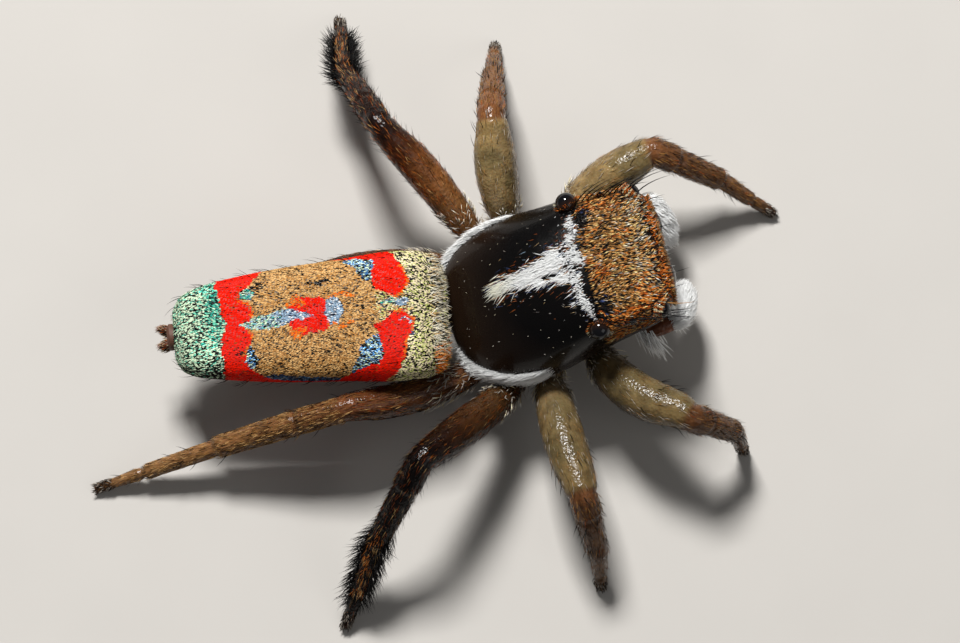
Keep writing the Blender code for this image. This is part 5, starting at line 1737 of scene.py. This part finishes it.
def build_camera():
    """Looks down at the spider, leaning towards its right, at the photograph's framing."""
    c, s = math.cos(CAMERA_TURN), math.sin(CAMERA_TURN)
    lean_c, lean_s = math.cos(CAMERA_LEAN), math.sin(CAMERA_LEAN)
    right = Vector((c, -s, 0))
    up = Vector((s * lean_c, c * lean_c, lean_s))
    back = right.cross(up)
    aim = Vector(in_frame(np.array((*PICTURE_MIDDLE, AIM_HEIGHT))))
    camera = bpy.data.cameras.new("photo_camera")
    camera.lens = CAMERA_LENS
    camera.sensor_width = CAMERA_SENSOR
    distance = FRAME_WIDTH * CAMERA_LENS / CAMERA_SENSOR * MM
    camera.clip_start = distance * 0.1
    camera.clip_end = distance * 20
    holder = bpy.data.objects.new("photo_camera", camera)
    holder.location = aim + back * distance
    holder.rotation_mode = "QUATERNION"
    holder.rotation_quaternion = Matrix((right, up, back)).transposed().to_quaternion()
    bpy.context.scene.collection.objects.link(holder)
    bpy.context.scene.camera = holder


# Operators

class SPIDER_OT_carapace(bpy.types.Operator):
    """Make the polished shell of the head and thorax."""

    bl_idname = "spider.carapace"
    bl_label = "Carapace"

    def execute(self, context):
        build_carapace()
        return {"FINISHED"}


class SPIDER_OT_eyes(bpy.types.Operator):
    """Make the eight eyes."""

    bl_idname = "spider.eyes"
    bl_label = "Eyes"

    def execute(self, context):
        build_eyes()
        return {"FINISHED"}


class SPIDER_OT_abdomen(bpy.types.Operator):
    """Make the skin of the abdomen."""

    bl_idname = "spider.abdomen"
    bl_label = "Abdomen"

    def execute(self, context):
        build_abdomen()
        return {"FINISHED"}


class SPIDER_OT_abdomen_coat(bpy.types.Operator):
    """Cover the abdomen with scales and hairs."""

    bl_idname = "spider.abdomen_coat"
    bl_label = "Abdomen scales"

    def execute(self, context):
        edges = (0.006, 0.85, 1.72, ABDOMEN_END)
        for number, name in enumerate(("front", "middle", "rear")):
            scale_coat(f"abdomen_scales_{name}", edges[number:number + 2], 31 + number)
        end_scales()
        under_coat()
        rim_hair()
        return {"FINISHED"}


class SPIDER_OT_legs(bpy.types.Operator):
    """Make the skins of the eight legs."""

    bl_idname = "spider.legs"
    bl_label = "Legs"

    def execute(self, context):
        build_legs()
        return {"FINISHED"}


class SPIDER_OT_leg_hair(bpy.types.Operator):
    """Grow the hairs, bristles and claw tufts of the legs."""

    bl_idname = "spider.leg_hair"
    bl_label = "Leg hair"

    def execute(self, context):
        for number, name in enumerate(POSE):
            limb = leg_limb(name)
            fine_leg_hair(name, limb, number)
            leg_bristles(name, limb, number)
            coxa_hair(limb, name, number)
            claw_tuft(limb, name, number)
        return {"FINISHED"}


class SPIDER_OT_mouthparts(bpy.types.Operator):
    """Make the palps and jaws."""

    bl_idname = "spider.mouthparts"
    bl_label = "Palps and jaws"

    def execute(self, context):
        build_palps()
        build_jaws()
        return {"FINISHED"}


class SPIDER_OT_underside(bpy.types.Operator):
    """Make the sternum, the waist and the spinnerets."""

    bl_idname = "spider.underside"
    bl_label = "Underside"

    def execute(self, context):
        build_underside()
        return {"FINISHED"}


class SPIDER_OT_head_coat(bpy.types.Operator):
    """Grow the hair of the head, the white streak and bands, and the fringe of face and palps."""

    bl_idname = "spider.head_coat"
    bl_label = "Head hair"

    def execute(self, context):
        crown_coat()
        white_streak()
        side_bands()
        shell_specks()
        eye_rims()
        face_coat()
        face_hair()
        palp_hair()
        brow_bristles()
        return {"FINISHED"}


class SPIDER_OT_stage(bpy.types.Operator):
    """Set up the floor, the lights and the camera."""

    bl_idname = "spider.stage"
    bl_label = "Stage"

    def execute(self, context):
        settings = context.scene.spider_stage
        build_floor(settings)
        add_light("key_light", *KEY_LIGHT, settings.key_power)
        add_light("fill_light", *FILL_LIGHT, settings.fill_power)
        world = bpy.data.worlds.new("soft_light")
        world.use_nodes = True
        world.node_tree.nodes["Background"].inputs["Color"].default_value = SKY_COLOUR
        world.node_tree.nodes["Background"].inputs["Strength"].default_value = SKY_STRENGTH
        context.scene.world = world
        context.scene.view_settings.view_transform = "Standard"
        build_camera()
        return {"FINISHED"}


MAKERS = (
    SPIDER_OT_stage,
    SPIDER_OT_carapace,
    SPIDER_OT_eyes,
    SPIDER_OT_abdomen,
    SPIDER_OT_legs,
    SPIDER_OT_mouthparts,
    SPIDER_OT_underside,
    SPIDER_OT_abdomen_coat,
    SPIDER_OT_head_coat,
    SPIDER_OT_leg_hair,
)


class SPIDER_PT_panel(bpy.types.Panel):
    """The spider's settings and its makers."""

    bl_idname = "SPIDER_PT_panel"
    bl_label = "Peacock spider"
    bl_space_type = "VIEW_3D"
    bl_region_type = "UI"
    bl_category = "Spider"

    def draw(self, context):
        for settings in (context.scene.spider_coat, context.scene.spider_stage):
            for name in settings.__annotations__:
                self.layout.prop(settings, name)
        for maker in MAKERS:
            self.layout.operator(maker.bl_idname)


CLASSES = (CoatSettings, StageSettings, *MAKERS, SPIDER_PT_panel)


def register():
    """Tell Blender about the classes and hang the settings on the scene."""
    for made in CLASSES:
        bpy.utils.register_class(made)
    bpy.types.Scene.spider_coat = PointerProperty(type=CoatSettings)
    bpy.types.Scene.spider_stage = PointerProperty(type=StageSettings)


def unregister():
    """Take both back."""
    del bpy.types.Scene.spider_stage
    del bpy.types.Scene.spider_coat
    for made in reversed(CLASSES):
        bpy.utils.unregister_class(made)


def main():
    """Make the stage and every piece."""
    register()
    bpy.ops.spider.stage()
    bpy.ops.spider.carapace()
    bpy.ops.spider.eyes()
    bpy.ops.spider.abdomen()
    bpy.ops.spider.legs()
    bpy.ops.spider.mouthparts()
    bpy.ops.spider.underside()
    bpy.ops.spider.abdomen_coat()
    bpy.ops.spider.head_coat()
    bpy.ops.spider.leg_hair()


if __name__ == "__main__":
    main()
